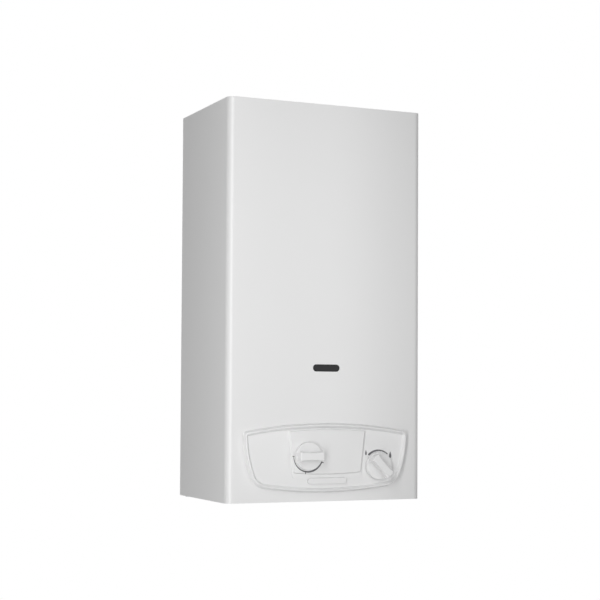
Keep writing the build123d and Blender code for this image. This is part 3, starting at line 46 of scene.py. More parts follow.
# Lengths are in metres on the frame's own axes: X to the right, Y towards the wall, Z up
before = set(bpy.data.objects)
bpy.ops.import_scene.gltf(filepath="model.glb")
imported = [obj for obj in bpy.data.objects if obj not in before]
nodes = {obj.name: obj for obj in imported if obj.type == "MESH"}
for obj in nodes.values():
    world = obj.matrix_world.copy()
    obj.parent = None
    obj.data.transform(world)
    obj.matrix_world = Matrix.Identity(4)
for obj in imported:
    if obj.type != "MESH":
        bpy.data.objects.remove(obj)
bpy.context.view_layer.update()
MM = 0.001


def linear(code):
    """Linear colour of an sRGB hex value such as "#E8E8E6", by the curve of the sRGB standard."""
    shares = [int(code[place : place + 2], 16) / 255 for place in (1, 3, 5)]
    return tuple(c / 12.92 if c <= 0.04045 else ((c + 0.055) / 1.055) ** 2.4 for c in shares)


def colour(name, description, code):
    """A colour property that starts at an sRGB hex value."""
    return bpy.props.FloatVectorProperty(
        name=name, description=description, subtype="COLOR", size=3, min=0, max=1, default=linear(code)
    )


def length(name, description, default):
    """A length property in metres."""
    return bpy.props.FloatProperty(
        name=name, description=description, default=default, min=0, unit="LENGTH", precision=5
    )


class HeaterColours(bpy.types.PropertyGroup):
    """Colours of the heater's finishes"""

    enamel: colour("Enamel", "Baked enamel of the casing", "#E9E9E9")
    abs_white: colour("White ABS", "Moulded console, fascia, tab and knobs", "#EBEBEB")
    smoke: colour("Smoked window", "Tinted window behind the sight slot", "#1C1C1D")
    nylon: colour("Black nylon", "Battery box, switch and window frame", "#232325")
    housing: colour("Grey housing", "Housing of the ignition control", "#7E8184")
    # The dial ink's colour also paints shade: the arc over the gas knob is partly painted shade of its well
    ink: colour("Dial ink", "Printed marks round the knobs", "#606063")
    copper: colour("Copper", "Bright drawn copper", "#DA9A78")
    tarnish: colour("Tarnish", "Copper browned by heat and air", "#7C4E3B")
    brass: colour("Brass", "Pressed brass of the valves", "#CBAA66")
    brass_dip: colour("Brass in its dips", "Brass where the skin has dulled", "#97794A")
    zinc: colour("Galvanised zinc", "Spangled zinc of the back plate", "#BDC1C4")
    aluminised: colour("Aluminised steel", "Dull coat of the hood and collar", "#BDBDB9")
    passivate: colour("Zinc plate", "Bright plated screws and brackets", "#C9CCCF")
    stainless: colour("Stainless steel", "Burner blades and small springs", "#B6B3AE")
    die_cast: colour("Cast aluminium", "Gas valve body and its flange", "#C2C4C6")
    rubber: colour("Rubber", "Diaphragm and valve seat", "#1E1E1F")
    glaze: colour("Glaze", "Porcelain insulators of the electrodes", "#F1EEE4")
    dark_wire: colour("Dark wire", "Electrode wire where its oxide is thick", "#5A5652")
    pale_wire: colour("Pale wire", "Electrode wire where its oxide is thin", "#8C8782")
    white_sleeve: colour("White sleeve", "Braid on the electrodes' leads", "#D8D4C8")
    brown_sleeve: colour("Brown sleeve", "Braid on the thermostats' leads", "#6E3B2C")
    black_sleeve: colour("Black sleeve", "Braid on the control's leads", "#2B2B2D")
    foil: colour("Foil", "Printed jacket of the battery", "#26282C")
    foil_band: colour("Foil band", "Copper-coloured band of the battery's jacket", "#B98455")
    floor: colour("Floor", "Pale floor far below the heater", "#F2F2F1")


class HeaterSizes(bpy.types.PropertyGroup):
    """Sizes of the marks, threads, screws and spring that are added to the frame"""

    ink_height: length("Ink height", "How far printed marks stand off the plastic", 0.05 * MM)
    mark_radius: length("Mark radius", "Middle radius of the printed arcs round a knob", 22.6 * MM)
    mark_width: length("Mark width", "Width of a printed arc at its broad end", 3.2 * MM)
    thread_crest: length("Thread crest", "Outside radius of a pipe thread", 10.4775 * MM)
    thread_pitch: length("Thread pitch", "Distance between the crests of a pipe thread", 1.814 * MM)
    thread_depth: length("Thread depth", "Depth of a pipe thread under its crests", 1.162 * MM)
    thread_length: length("Thread length", "Length of a pipe thread", 15 * MM)
    neck_radius: length("Neck radius", "Radius between a thread and its hexagon", 9.4 * MM)
    hexagon_height: length("Hexagon height", "Height of a spigot's hexagon", 8 * MM)
    spigot_bore: length("Spigot bore", "Radius of the water and gas ways", 6 * MM)
    screw_washer: length("Screw washer", "Thickness of the washer pressed on a casing screw", 0.7 * MM)
    washer_radius: length("Washer radius", "Radius of the washer pressed on a casing screw", 3.6 * MM)
    screw_flats: length("Screw flats", "Width across the flats of a casing screw", 5.5 * MM)
    screw_shank: length("Screw shank", "Radius of a casing screw's shank", 2 * MM)
    screw_length: length("Screw length", "How far a casing screw reaches into the casing", 7 * MM)
    spring_wire: length("Spring wire", "Radius of the closing spring's wire", 0.6 * MM)
    rod_travel: length("Rod travel", "How much the closing spring shortens", 5.05 * MM)


def colours():
    """The colours as the panel has them."""
    return bpy.context.scene.heater_colours


def sizes():
    """The sizes as the panel has them."""
    return bpy.context.scene.heater_sizes


# Materials

# A colour Mix node's sockets are counted, because the sockets of its other modes have the same names
SHARE, LOW, HIGH, MIXED = 0, 6, 7, 2


def add(tree, kind, inputs=None, **settings):
    """Adds a shader node with its settings, and sets or links its inputs."""
    node = tree.nodes.new("ShaderNode" + kind)
    for name, value in settings.items():
        setattr(node, name, value)
    for name, value in (inputs or {}).items():
        if isinstance(value, bpy.types.NodeSocket):
            tree.links.new(value, node.inputs[name])
        else:
            node.inputs[name].default_value = value
    return node


def begin(name):
    """A material without nodes, its tree, and the Object coordinates that its patterns follow."""
    material = bpy.data.materials.new(name)
    material.use_nodes = True
    tree = material.node_tree
    tree.nodes.clear()
    return material, tree, add(tree, "TexCoord").outputs["Object"]


def tone(shade, factor=1.0):
    """A shade with alpha, made lighter or darker by factor."""
    return (*(min(1.0, c * factor) for c in shade), 1.0)


def surface(material, tree, tint, gloss, relief, **shader_inputs):
    """Ends a material: one shader takes its mixed tint, its gloss and its relief, and covers the piece."""
    shader = add(tree, "BsdfPrincipled", {
        "Base Color": tint.outputs[MIXED],
        "Roughness": gloss.outputs["Result"],
        "Normal": relief.outputs["Normal"],
        **shader_inputs,
    })
    add(tree, "OutputMaterial", {"Surface": shader.outputs[0]})
    return material


def speckled(name, low, high, patch, grain, depth, roughness, stretch=(1, 1, 1), **shader_inputs):
    """A finish that drifts between two tones in patches, with a fine grain in its gloss and its relief.

    low and high are a shade and its factor each. patch and grain are the sizes of the two patterns and
    depth is the height of the grain, in metres.
    """
    material, tree, place = begin(name)
    along = add(tree, "Mapping", {"Vector": place, "Scale": stretch}).outputs["Vector"]
    drift = add(tree, "TexNoise", {"Vector": along, "Scale": 1 / patch, "Detail": 3.0}).outputs["Fac"]
    fine = add(tree, "TexNoise", {"Vector": along, "Scale": 1 / grain, "Detail": 2.0}).outputs["Fac"]
    tint = add(tree, "Mix", {SHARE: drift, LOW: tone(*low), HIGH: tone(*high)}, data_type="RGBA")
    gloss = add(tree, "MapRange", {"Value": fine, "To Min": roughness[0], "To Max": roughness[1]})
    relief = add(tree, "Bump", {"Height": fine, "Distance": depth})
    return surface(material, tree, tint, gloss, relief, **shader_inputs)


def baked_enamel():
    """Polyester powder baked on steel: satin white, with the faint orange peel that powder leaves."""
    shade = colours().enamel
    return speckled(
        "baked_enamel", low=(shade, 0.985), high=(shade, 1.0), patch=90 * MM, grain=2.5 * MM,
        depth=0.03 * MM, roughness=(0.26, 0.33), IOR=1.5,
    )


def moulded_abs():
    """ABS from a spark-eroded tool: soft satin, with the fine even grain of that tool."""
    shade = colours().abs_white
    return speckled(
        "moulded_abs", low=(shade, 0.985), high=(shade, 1.0), patch=60 * MM, grain=0.6 * MM,
        depth=0.015 * MM, roughness=(0.34, 0.46), IOR=1.54,
    )


def smoked_polycarbonate():
    """Tinted sheet with a satin face that mutes reflections, so that the slot stays nearly black."""
    shade = colours().smoke
    return speckled(
        "smoked_polycarbonate", low=(shade, 0.9), high=(shade, 1.1), patch=9 * MM, grain=0.4 * MM,
        depth=0.01 * MM, roughness=(0.4, 0.5),
        **{"IOR": 1.585, "Specular IOR Level": 0.15, "Transmission Weight": 0.1},
    )


def moulded_nylon(name, shade):
    """Glass-filled nylon as it leaves its mould: matt, with a fine speckle where fibres show."""
    return speckled(
        name, low=(shade, 0.82), high=(shade, 1.25), patch=1.2 * MM, grain=0.5 * MM,
        depth=0.03 * MM, roughness=(0.46, 0.62), IOR=1.53,
    )


def aluminised_sheet():
    """Hot-dipped aluminium on steel: dull, with streaks along the way it was rolled."""
    shade = colours().aluminised
    return speckled(
        "aluminised_sheet", low=(shade, 0.84), high=(shade, 1.06), patch=16 * MM, grain=0.6 * MM,
        depth=0.01 * MM, roughness=(0.42, 0.56), stretch=(0.08, 1, 1), Metallic=1.0,
    )


def mill_stainless():
    """Cold-rolled stainless steel with a mill finish: fine lines along the blades."""
    shade = colours().stainless
    return speckled(
        "mill_stainless", low=(shade, 0.86), high=(shade, 1.05), patch=12 * MM, grain=0.4 * MM,
        depth=0.008 * MM, roughness=(0.3, 0.42), stretch=(1, 0.06, 1), Metallic=1.0,
    )


def plated_steel():
    """Bright zinc plate with a clear passivate: pale, clouded where the bath ran off."""
    shade = colours().passivate
    return speckled(
        "plated_steel", low=(shade, 0.86), high=(shade, 1.02), patch=6 * MM, grain=0.8 * MM,
        depth=0.01 * MM, roughness=(0.24, 0.4), Metallic=1.0,
    )


def pressed_brass():
    """Hot-pressed and blasted brass: a finely pitted skin that is duller in patches."""
    return speckled(
        "pressed_brass", low=(colours().brass_dip, 1.0), high=(colours().brass, 1.0), patch=16 * MM,
        grain=0.8 * MM, depth=0.05 * MM, roughness=(0.32, 0.48), Metallic=1.0,
    )


def machined_brass():
    """Turned brass: brighter than the pressed skin, with the fine rings that the tool leaves."""
    shade = colours().brass
    return speckled(
        "machined_brass", low=(shade, 0.9), high=(shade, 1.06), patch=8 * MM, grain=0.5 * MM,
        depth=0.01 * MM, roughness=(0.2, 0.3), stretch=(0.1, 0.1, 1), Metallic=1.0,
    )


def cast_aluminium():
    """Die-cast aluminium: pale and dull, with the soft ripple of its die."""
    shade = colours().die_cast
    return speckled(
        "cast_aluminium", low=(shade, 0.84), high=(shade, 1.04), patch=9 * MM, grain=2.2 * MM,
        depth=0.06 * MM, roughness=(0.42, 0.58), Metallic=1.0,
    )


def moulded_rubber():
    """Nitrile rubber: black and dull, with a trace of bloom."""
    shade = colours().rubber
    return speckled(
        "moulded_rubber", low=(shade, 1.0), high=(shade, 1.7), patch=5 * MM, grain=0.7 * MM,
        depth=0.02 * MM, roughness=(0.62, 0.8),
    )


def printed_ink_and_painted_shade():
    """Pad-printed ink: thin and dull, slightly uneven where the pad lifted. The same dark ink also makes the
    painted shade in the arc over the gas knob.
    """
    shade = colours().ink
    return speckled(
        "printed_ink_and_painted_shade", low=(shade, 0.9), high=(shade, 1.15), patch=0.9 * MM, grain=0.4 * MM,
        depth=0.004 * MM, roughness=(0.5, 0.62),
    )


def painted_floor():
    """Matt white paint on a floor: plain, with only the slightest cloud in it."""
    shade = colours().floor
    return speckled(
        "painted_floor", low=(shade, 0.985), high=(shade, 1.0), patch=600 * MM, grain=4 * MM,
        depth=0.02 * MM, roughness=(0.85, 0.95),
    )


def galvanised_sheet():
    """Hot-dipped zinc: crystals of about 10 mm, each of which turns the light its own way."""
    material, tree, place = begin("galvanised_sheet")
    shade = colours().zinc
    crystals = add(tree, "TexVoronoi", {"Vector": place, "Scale": 1 / (10 * MM)})
    facet = add(tree, "SeparateColor", {"Color": crystals.outputs["Color"]}).outputs["Red"]
    tint = add(tree, "Mix", {SHARE: facet, LOW: tone(shade, 0.8), HIGH: tone(shade, 1.08)}, data_type="RGBA")
    gloss = add(tree, "MapRange", {"Value": facet, "To Min": 0.36, "To Max": 0.56})
    dust = add(tree, "TexNoise", {"Vector": place, "Scale": 1 / (1.2 * MM), "Detail": 3.0})
    relief = add(tree, "Bump", {"Height": dust.outputs["Fac"], "Distance": 0.015 * MM})
    return surface(material, tree, tint, gloss, relief, Metallic=1.0)


def drawn_copper(name, hot_z, cool_z):
    """Drawn and brazed copper: bright where it stays cool, browned towards the height of the flames."""
    material, tree, place = begin(name)
    bright, brown = tone(colours().copper), tone(colours().tarnish)
    height = add(tree, "SeparateXYZ", {"Vector": place}).outputs["Z"]
    heat = add(tree, "MapRange", {"Value": height, "From Min": cool_z, "From Max": hot_z}).outputs["Result"]
    cloud = add(tree, "TexNoise", {"Vector": place, "Scale": 1 / (24 * MM), "Detail": 4.0}).outputs["Fac"]
    burnt = add(tree, "Math", {0: heat, 1: cloud}, operation="MULTIPLY", use_clamp=True).outputs[0]
    tint = add(tree, "Mix", {SHARE: burnt, LOW: bright, HIGH: brown}, data_type="RGBA")
    gloss = add(tree, "MapRange", {"Value": cloud, "To Min": 0.22, "To Max": 0.44})
    scratch = add(tree, "TexNoise", {"Vector": place, "Scale": 1 / (0.9 * MM), "Detail": 2.0})
    relief = add(tree, "Bump", {"Height": scratch.outputs["Fac"], "Distance": 0.012 * MM})
    return surface(material, tree, tint, gloss, relief, Metallic=1.0)


def glazed_porcelain(front, back):
    """White glaze over the insulator between two depths, and oxidised steel wire beyond them."""
    material, tree, place = begin("glazed_porcelain")
    shade = colours().glaze
    dark, pale = tone(colours().dark_wire), tone(colours().pale_wire)
    depth = add(tree, "SeparateXYZ", {"Vector": place}).outputs["Y"]
    half, middle_depth = (back - front) / 2, (front + back) / 2
    glazed = add(tree, "Math", {0: depth, 1: middle_depth, 2: half}, operation="COMPARE").outputs[0]
    cloud = add(tree, "TexNoise", {"Vector": place, "Scale": 1 / (1.5 * MM), "Detail": 3.0}).outputs["Fac"]
    glaze = add(tree, "Mix", {SHARE: cloud, LOW: tone(shade, 0.92), HIGH: tone(shade)}, data_type="RGBA")
    wire = add(tree, "Mix", {SHARE: cloud, LOW: dark, HIGH: pale}, data_type="RGBA")
    coats = {SHARE: glazed, LOW: wire.outputs[MIXED], HIGH: glaze.outputs[MIXED]}
    tint = add(tree, "Mix", coats, data_type="RGBA")
    metal = add(tree, "MapRange", {"Value": glazed, "To Min": 1.0, "To Max": 0.0})
    gloss = add(tree, "MapRange", {"Value": glazed, "To Min": 0.42, "To Max": 0.15})
    relief = add(tree, "Bump", {"Height": cloud, "Distance": 0.01 * MM})
    return surface(material, tree, tint, gloss, relief, Metallic=metal.outputs["Result"])


def braided_sleeve(name, shade):
    """Glass braid soaked in silicone: a fine weave, drawn at 1.2 mm so that it shows."""
    material, tree, place = begin(name)
    weave = add(tree, "TexVoronoi", {"Vector": place, "Scale": 1 / (1.2 * MM)}).outputs["Distance"]
    tint = add(tree, "Mix", {SHARE: weave, LOW: tone(shade, 1.1), HIGH: tone(shade, 0.7)}, data_type="RGBA")
    gloss = add(tree, "MapRange", {"Value": weave, "To Min": 0.5, "To Max": 0.7})
    relief = add(tree, "Bump", {"Height": weave, "Distance": 0.12 * MM}, invert=True)
    return surface(material, tree, tint, gloss, relief)


def printed_foil(band_z):
    """Battery jacket of plain printed foil: dark, with a copper-coloured band above the height given."""
    material, tree, place = begin("printed_foil")
    jacket, top_band = tone(colours().foil), tone(colours().foil_band)
    height = add(tree, "SeparateXYZ", {"Vector": place}).outputs["Z"]
    band = add(tree, "Math", {0: height, 1: band_z}, operation="GREATER_THAN").outputs[0]
    scuff = add(tree, "TexNoise", {"Vector": place, "Scale": 1 / (4 * MM), "Detail": 4.0}).outputs["Fac"]
    tint = add(tree, "Mix", {SHARE: band, LOW: jacket, HIGH: top_band}, data_type="RGBA")
    gloss = add(tree, "MapRange", {"Value": scuff, "To Min": 0.24, "To Max": 0.4})
    relief = add(tree, "Bump", {"Height": scuff, "Distance": 0.02 * MM})
    return surface(material, tree, tint, gloss, relief, Metallic=0.7)


# Pieces

# Stands a shape up that was drawn flat, so that it faces the front
UPRIGHT = Matrix.Rotation(pi / 2, 3, "X")


def finish(material, *names):
    """Gives CAD nodes their finished material."""
    for name in names:
        slots = nodes[name].data.materials
        slots.clear()
        slots.append(material)


def piece(name, mesh, material, body, slot, *replaced):
    """Makes an object of a bmesh that is already in place, and lets it ride on a body."""
    bmesh.ops.remove_doubles(mesh, verts=mesh.verts, dist=0.001 * MM)
    bmesh.ops.recalc_face_normals(mesh, faces=mesh.faces)
    data = bpy.data.meshes.new(name)
    mesh.to_mesh(data)
    mesh.free()
    data.materials.append(material)
    thing = bpy.data.objects.new(name, data)
    bpy.context.scene.collection.objects.link(thing)
    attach(thing, body)
    if replaced:
        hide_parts(*replaced)
    return thing


def middle(name):
    """Middle of a CAD node's box."""
    low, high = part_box(name)
    return (low + high) / 2


def hexagon_reach(flats):
    """Distance from a hexagon's middle to its corners, from its width across the flats."""
    return flats / 2 / cos(pi / 6)


class HEATER_OT_casing(bpy.types.Operator):
    """Finishes the casing, the back plate and the sight window"""

    bl_idname = "heater.casing"
    bl_label = "Casing, back plate and window"

    def execute(self, context):
        finish(baked_enamel(), "casing")
        finish(galvanised_sheet(), "back_plate")
        finish(smoked_polycarbonate(), "sight_window")
        return {"FINISHED"}


class HEATER_OT_console(bpy.types.Operator):
    """Finishes the console, its fascia and tab, and both knobs"""

    bl_idname = "heater.console"
    bl_label = "Console and knobs"

    def execute(self, context):
        white = ("control_console", "centre_fascia", "bare_tab", "temperature_knob", "gas_knob")
        finish(moulded_abs(), *white)
        return {"FINISHED"}


def arc_band(centre, start, end, start_width, end_width):
    """A flat arc round a knob, as a new bmesh; its width runs from one value to the other. It serves the
    printed scale and the gas knob's arc, which is partly painted shade.

    The angles are counted in degrees from +X towards +Z, the way a spin about the axis to the front turns.
    """
    radius = sizes().mark_radius
    mesh = bmesh.new()
    side = Vector((cos(radians(start)), 0, sin(radians(start))))
    ends = [mesh.verts.new(centre + side * (radius + half)) for half in (-MM, MM)]
    edge = mesh.edges.new(ends)
    bmesh.ops.spin(
        mesh, geom=[*ends, edge], cent=centre, axis=(0, -1, 0), angle=radians(end - start), steps=36
    )
    # The slack keeps a start that comes out just under zero from counting as a whole turn
    slack = 0.01
    for corner in mesh.verts:
        out = corner.co - centre
        turned = atan2(out.z, out.x) - radians(start)
        share = (turned + slack) % tau / radians(end - start)
        width = start_width + (end_width - start_width) * share
        # The band was spun one millimetre to each side of its middle, so this is -1 or 1
        edge_side = (out.length - radius) / MM
        corner.co = centre + out.normalized() * (radius + edge_side * width / 2)
    return mesh


def tick(mesh, centre, angle, inner, reach, width):
    """A short printed stroke that points away from a knob."""
    stroke = bmesh.ops.create_grid(mesh, x_segments=1, y_segments=1, size=0.5)["verts"]
    bmesh.ops.scale(mesh, verts=stroke, vec=(reach, width, 1))
    bmesh.ops.translate(mesh, verts=stroke, vec=(inner + reach / 2, 0, 0))
    bmesh.ops.rotate(mesh, verts=stroke, matrix=Matrix.Rotation(radians(angle), 3, "Z"))
    bmesh.ops.rotate(mesh, verts=stroke, matrix=UPRIGHT)
    bmesh.ops.translate(mesh, verts=stroke, vec=centre)


def flame(mesh, foot, height, width):
    """A printed flame: a disc drawn out into a drop with its point at the top."""
    fullness, taper = 1.5, 0.6
    drop = bmesh.ops.create_circle(mesh, cap_ends=True, segments=32, radius=0.5)["verts"]
    bmesh.ops.rotate(mesh, verts=drop, matrix=UPRIGHT)
    for corner in drop:
        lift = corner.co.z + 0.5
        corner.co.x *= fullness * width * max(0.0, 1 - lift) ** taper
        corner.co.z = lift * height
    bmesh.ops.translate(mesh, verts=drop, vec=foot)


def inked(mesh):
    """Gives flat marks, printed ones and the painted shade over the gas knob, the thickness of their ink,
    towards the front.
    """
    grown = bmesh.ops.extrude_face_region(mesh, geom=mesh.faces[:], use_keep_orig=True)["geom"]
    lifted = [part for part in grown if isinstance(part, bmesh.types.BMVert)]
    bmesh.ops.translate(mesh, verts=lifted, vec=(0, -sizes().ink_height, 0))
    return mesh


def temperature_scale(centre):
    """The selector's scale: a wedge that grows from its first tick to its last, and a tick between them."""
    start, end = 181, 337
    thin_end = 0.8 * MM
    inner = sizes().mark_radius - 1.2 * MM
    # Angle in degrees, and reach and width in millimetres
    ticks = ((180, 3.2, 1.1), (261, 4.6, 1.1), (338, 5.2, 1.2))
    mesh = arc_band(centre, start, end, thin_end, sizes().mark_width)
    for angle, reach, width in ticks:
        tick(mesh, centre, angle, inner, reach * MM, width * MM)
    return inked(mesh)


def gas_scale_with_painted_shade(centre):
    """The gas knob's scale: printed flames, and an arc over its top between a small flame and a large one
    that is partly print and partly painted shade of the knob's well.
    """
    start, end = 48, 136
    thin_end = 1.4 * MM
    # Foot to the right of and above the knob's middle, then height and width, in millimetres
    flames = ((-20.5, 15.5, 8, 2.4), (19.6, 11, 10, 3.4))
    # The arc grows broad towards the small flame on the left, where it stands for the shaded upper wall of
    # the knob's well as well as for print: painted shade
    mesh = arc_band(centre, start, end, thin_end, sizes().mark_width)
    for aside, above, height, width in flames:
        flame(mesh, centre + Vector((aside, 0, above)) * MM, height * MM, width * MM)
    return inked(mesh)


class HEATER_OT_dial_marks(bpy.types.Operator):
    """Prints the scales and marks round both knobs; the arc over the gas knob is partly painted shade"""

    bl_idname = "heater.dial_marks"
    bl_label = "Dial marks"

    def execute(self, context):
        ink = printed_ink_and_painted_shade()
        selector = middle("temperature_spindle")
        selector.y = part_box("centre_fascia")[0].y
        piece("temperature_marks", temperature_scale(selector), ink, "heater", "black_plastic")
        gas = middle("gas_spindle")
        # The dish of the console is where the back of the tab stands
        gas.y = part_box("bare_tab")[1].y
        # The gas knob's arc is dark ink that is partly painted shade of the knob's well
        piece("gas_marks_and_painted_shade", gas_scale_with_painted_shade(gas), ink, "heater", "black_plastic")
        return {"FINISHED"}


def bored_hexagon(centre, flats, turn, low, high, bore):
    """A new bmesh of a bored hexagon with broken outer edges; turn is the angle of its corners from +Y."""
    sides, cuts = 6, 10
    broken = 0.35 * MM
    sharp = radians(50)
    mesh = bmesh.new()
    rim = bmesh.ops.create_circle(mesh, segments=sides, radius=hexagon_reach(flats))["verts"]
    bmesh.ops.rotate(mesh, verts=rim, matrix=Matrix.Rotation(turn, 3, "Z"))
    bmesh.ops.subdivide_edges(mesh, edges=mesh.edges[:], cuts=cuts)
    # The bore has as many corners as the cut rim, so that the bridge between them is even
    bmesh.ops.create_circle(mesh, segments=sides * (cuts + 1), radius=bore)
    bmesh.ops.translate(mesh, verts=mesh.verts, vec=(centre.x, centre.y, low))
    web = bmesh.ops.bridge_loops(mesh, edges=mesh.edges[:])["faces"]
    grown = bmesh.ops.extrude_face_region(mesh, geom=web, use_keep_orig=True)["geom"]
    lifted = [part for part in grown if isinstance(part, bmesh.types.BMVert)]
    bmesh.ops.translate(mesh, verts=lifted, vec=(0, 0, high - low))
    outer = [
        edge for edge in mesh.edges
        if edge.calc_face_angle(0) > sharp
        and all((corner.co - centre).to_2d().length > bore + MM for corner in edge.verts)
    ]
    bmesh.ops.bevel(mesh, geom=outer, offset=broken, segments=2, affect="EDGES", profile=0.5, material=-1)
    return mesh


def threaded_spigot(name):
    """A spigot like its CAD node with real thread ridges: a bored neck turned under a hexagon."""
    size = sizes()
    low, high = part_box(name)
    centre = (low + high) / 2
    wide, deep = high.x - low.x, high.y - low.y
    root = size.thread_crest - size.thread_depth
    pitch = size.thread_pitch
    thread_top = low.z + size.thread_length
    hexagon_low = high.z - size.hexagon_height
    lead_in = 0.4 * MM
    # Where a ridge's flat crest starts and ends, as shares of the pitch
    crest_start, crest_end = 0.42, 0.58
    outline = [(size.spigot_bore, low.z), (root - lead_in, low.z)]
    height = low.z + lead_in
    while height + pitch < thread_top:
        outline += [(root, height), (size.thread_crest, height + crest_start * pitch)]
        outline += [(size.thread_crest, height + crest_end * pitch)]
        height += pitch
    outline += [(root, height), (size.neck_radius, thread_top), (size.neck_radius, hexagon_low)]
    outline += [(size.spigot_bore, hexagon_low)]
    # A circle's first corner lies on Y, so the hexagon turns by a twelfth where its corners lie on X
    turn = pi / 6 if wide > deep else 0
    mesh = bored_hexagon(centre, min(wide, deep), turn, hexagon_low, high.z, size.spigot_bore)
    ring = [mesh.verts.new((centre.x + out, centre.y, up)) for out, up in outline]
    edges = [mesh.edges.new(pair) for pair in zip(ring, ring[1:] + ring[:1])]
    bmesh.ops.spin(
        mesh, geom=[*ring, *edges], cent=centre, axis=(0, 0, 1), angle=tau, steps=64, use_merge=True
    )
    return mesh


class HEATER_OT_spigots(bpy.types.Operator):
    """Cuts the pipe threads of the three spigots and finishes the other turned brass"""

    bl_idname = "heater.spigots"
    bl_label = "Threaded spigots"

    def execute(self, context):
        brass = machined_brass()
        for name in ("cold_water_spigot", "hot_water_spigot", "gas_inlet_spigot"):
            piece(f"threaded_{name}", threaded_spigot(name), brass, "heater", "yellow_brass", name)
        turned = ("push_rod", "union_nuts", "injectors", "temperature_spindle", "gas_spindle")
        finish(brass, *turned)
        return {"FINISHED"}


def hexagon_screw(mesh, x, y, seat_z, head_z, tip_z):
    """A sheet-metal screw along Z: a pressed washer under a hexagon head, and a plain shank to its tip."""
    size = sizes()
    out = 1 if head_z > seat_z else -1
    washer, shank = size.washer_radius, size.screw_shank
    washer_top = seat_z + out * size.screw_washer
    slope, rim_height, point, broken = 0.5 * MM, 0.2 * MM, 1.2 * MM, 0.25 * MM
    outline = [
        (0, washer_top), (washer - slope, washer_top), (washer, seat_z + out * rim_height),
        (washer, seat_z), (shank, seat_z), (shank, tip_z + out * point), (0, tip_z),
    ]
    ring = [mesh.verts.new((x + reach, y, up)) for reach, up in outline]
    edges = [mesh.edges.new(pair) for pair in zip(ring, ring[1:])]
    bmesh.ops.spin(
        mesh, geom=[*ring, *edges], cent=(x, y, 0), axis=(0, 0, 1), angle=tau, steps=32, use_merge=True
    )
    corners = hexagon_reach(size.screw_flats)
    head = bmesh.ops.create_cone(
        mesh, cap_ends=True, segments=6, radius1=corners, radius2=corners, depth=abs(head_z - seat_z)
    )["verts"]
    bmesh.ops.translate(mesh, verts=head, vec=(x, y, (head_z + seat_z) / 2))
    rim = list({edge for corner in head for edge in corner.link_edges})
    bmesh.ops.bevel(mesh, geom=rim, offset=broken, segments=2, affect="EDGES", profile=0.5, material=-1)


class HEATER_OT_casing_screws(bpy.types.Operator):
    """Makes the casing's four hexagon screws and finishes the other plated fittings"""

    bl_idname = "heater.casing_screws"
    bl_label = "Casing screws"

    def execute(self, context):
        washer, reach = sizes().washer_radius, sizes().screw_length
        low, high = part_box("casing_screws")
        casing_low, casing_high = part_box("casing")
        y = (low.y + high.y) / 2
        mesh = bmesh.new()
        for x in (low.x + washer, high.x - washer):
            hexagon_screw(mesh, x, y, casing_high.z, high.z, casing_high.z - reach)
            hexagon_screw(mesh, x, y, casing_low.z, low.z, casing_low.z + reach)
        plate = plated_steel()
        piece("hexagon_casing_screws", mesh, plate, "heater", "zinc_plated_steel", "casing_screws")
        finish(plate, "valve_screws", "console_clips", "support_brackets")
        finish(plate, "outlet_shelf", "gas_solenoid", "thermostats")
        return {"FINISHED"}


class HEATER_OT_heat_exchanger(bpy.types.Operator):
    """Finishes the copper jacket, fins and tubes, and the water pipes"""

    bl_idname = "heater.heat_exchanger"
    bl_label = "Heat exchanger"

    def execute(self, context):
        foot, top = (corner.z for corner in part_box("chamber_jacket"))
        # The fins are brown higher up than the jacket, and the pipes get their full brown only below its foot
        fin_rise, fin_fade, pipe_drop = 100 * MM, 50 * MM, 100 * MM
        finish(drawn_copper("browned_copper", foot, top), "chamber_jacket")
        finish(drawn_copper("sooted_copper", foot + fin_rise, top + fin_fade), "fin_block")
        pipes = ("return_bends", "feed_coil", "cold_feed_pipe", "hot_water_pipe")
        finish(drawn_copper("drawn_copper", foot - pipe_drop, top), *pipes)
        return {"FINISHED"}


class HEATER_OT_flue(bpy.types.Operator):
    """Finishes the hood, its collar, the burner's frame and the manifold"""

    bl_idname = "heater.flue"
    bl_label = "Hood, collar and burner frame"

    def execute(self, context):
        finish(aluminised_sheet(), "draught_hood", "flue_collar", "burner_frame", "gas_manifold")
        return {"FINISHED"}


def wound_spring(low, high):
    """A round wire wound along X from one end of a box to the other, as a new bmesh."""
    wire = sizes().spring_wire
    turns, steps_a_turn = 4, 40
    steps = turns * steps_a_turn
    winding = (high.y - low.y) / 2 - wire
    centre = (low + high) / 2
    mesh = bmesh.new()
    section = bmesh.ops.create_circle(mesh, cap_ends=True, segments=12, radius=wire)["verts"]
    bmesh.ops.translate(mesh, verts=section, vec=(low.x + wire, centre.y + winding, centre.z))
    advance = (high.x - low.x - 2 * wire) / steps
    bmesh.ops.spin(
        mesh, geom=[*mesh.faces, *mesh.edges, *mesh.verts], cent=centre, axis=(1, 0, 0),
        angle=turns * tau, steps=steps, dvec=(advance, 0, 0),
    )
    return mesh


class HEATER_OT_spring(bpy.types.Operator):
    """Winds the closing spring and finishes the other stainless parts"""

    bl_idname = "heater.spring"
    bl_label = "Closing spring"

    def execute(self, context):
        low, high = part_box("closing_spring")
        steel = mill_stainless()
        coil = wound_spring(low, high)
        spring = piece("wound_spring", coil, steel, "heater", "stainless_steel", "closing_spring")
        finish(steel, "burner_blades", "electrode_plate", "switch_lever")
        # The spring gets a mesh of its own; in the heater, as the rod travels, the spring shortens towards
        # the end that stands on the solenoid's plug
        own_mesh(spring)
        return {"FINISHED"}


class HEATER_OT_electrodes(bpy.types.Operator):
    """Finishes the electrodes and their insulators"""

    bl_idname = "heater.electrodes"
    bl_label = "Electrodes"

    def execute(self, context):
        insulator_front, insulator_back = -162 * MM, -141 * MM
        finish(glazed_porcelain(insulator_front, insulator_back), "spark_electrode", "flame_sensor")
        return {"FINISHED"}


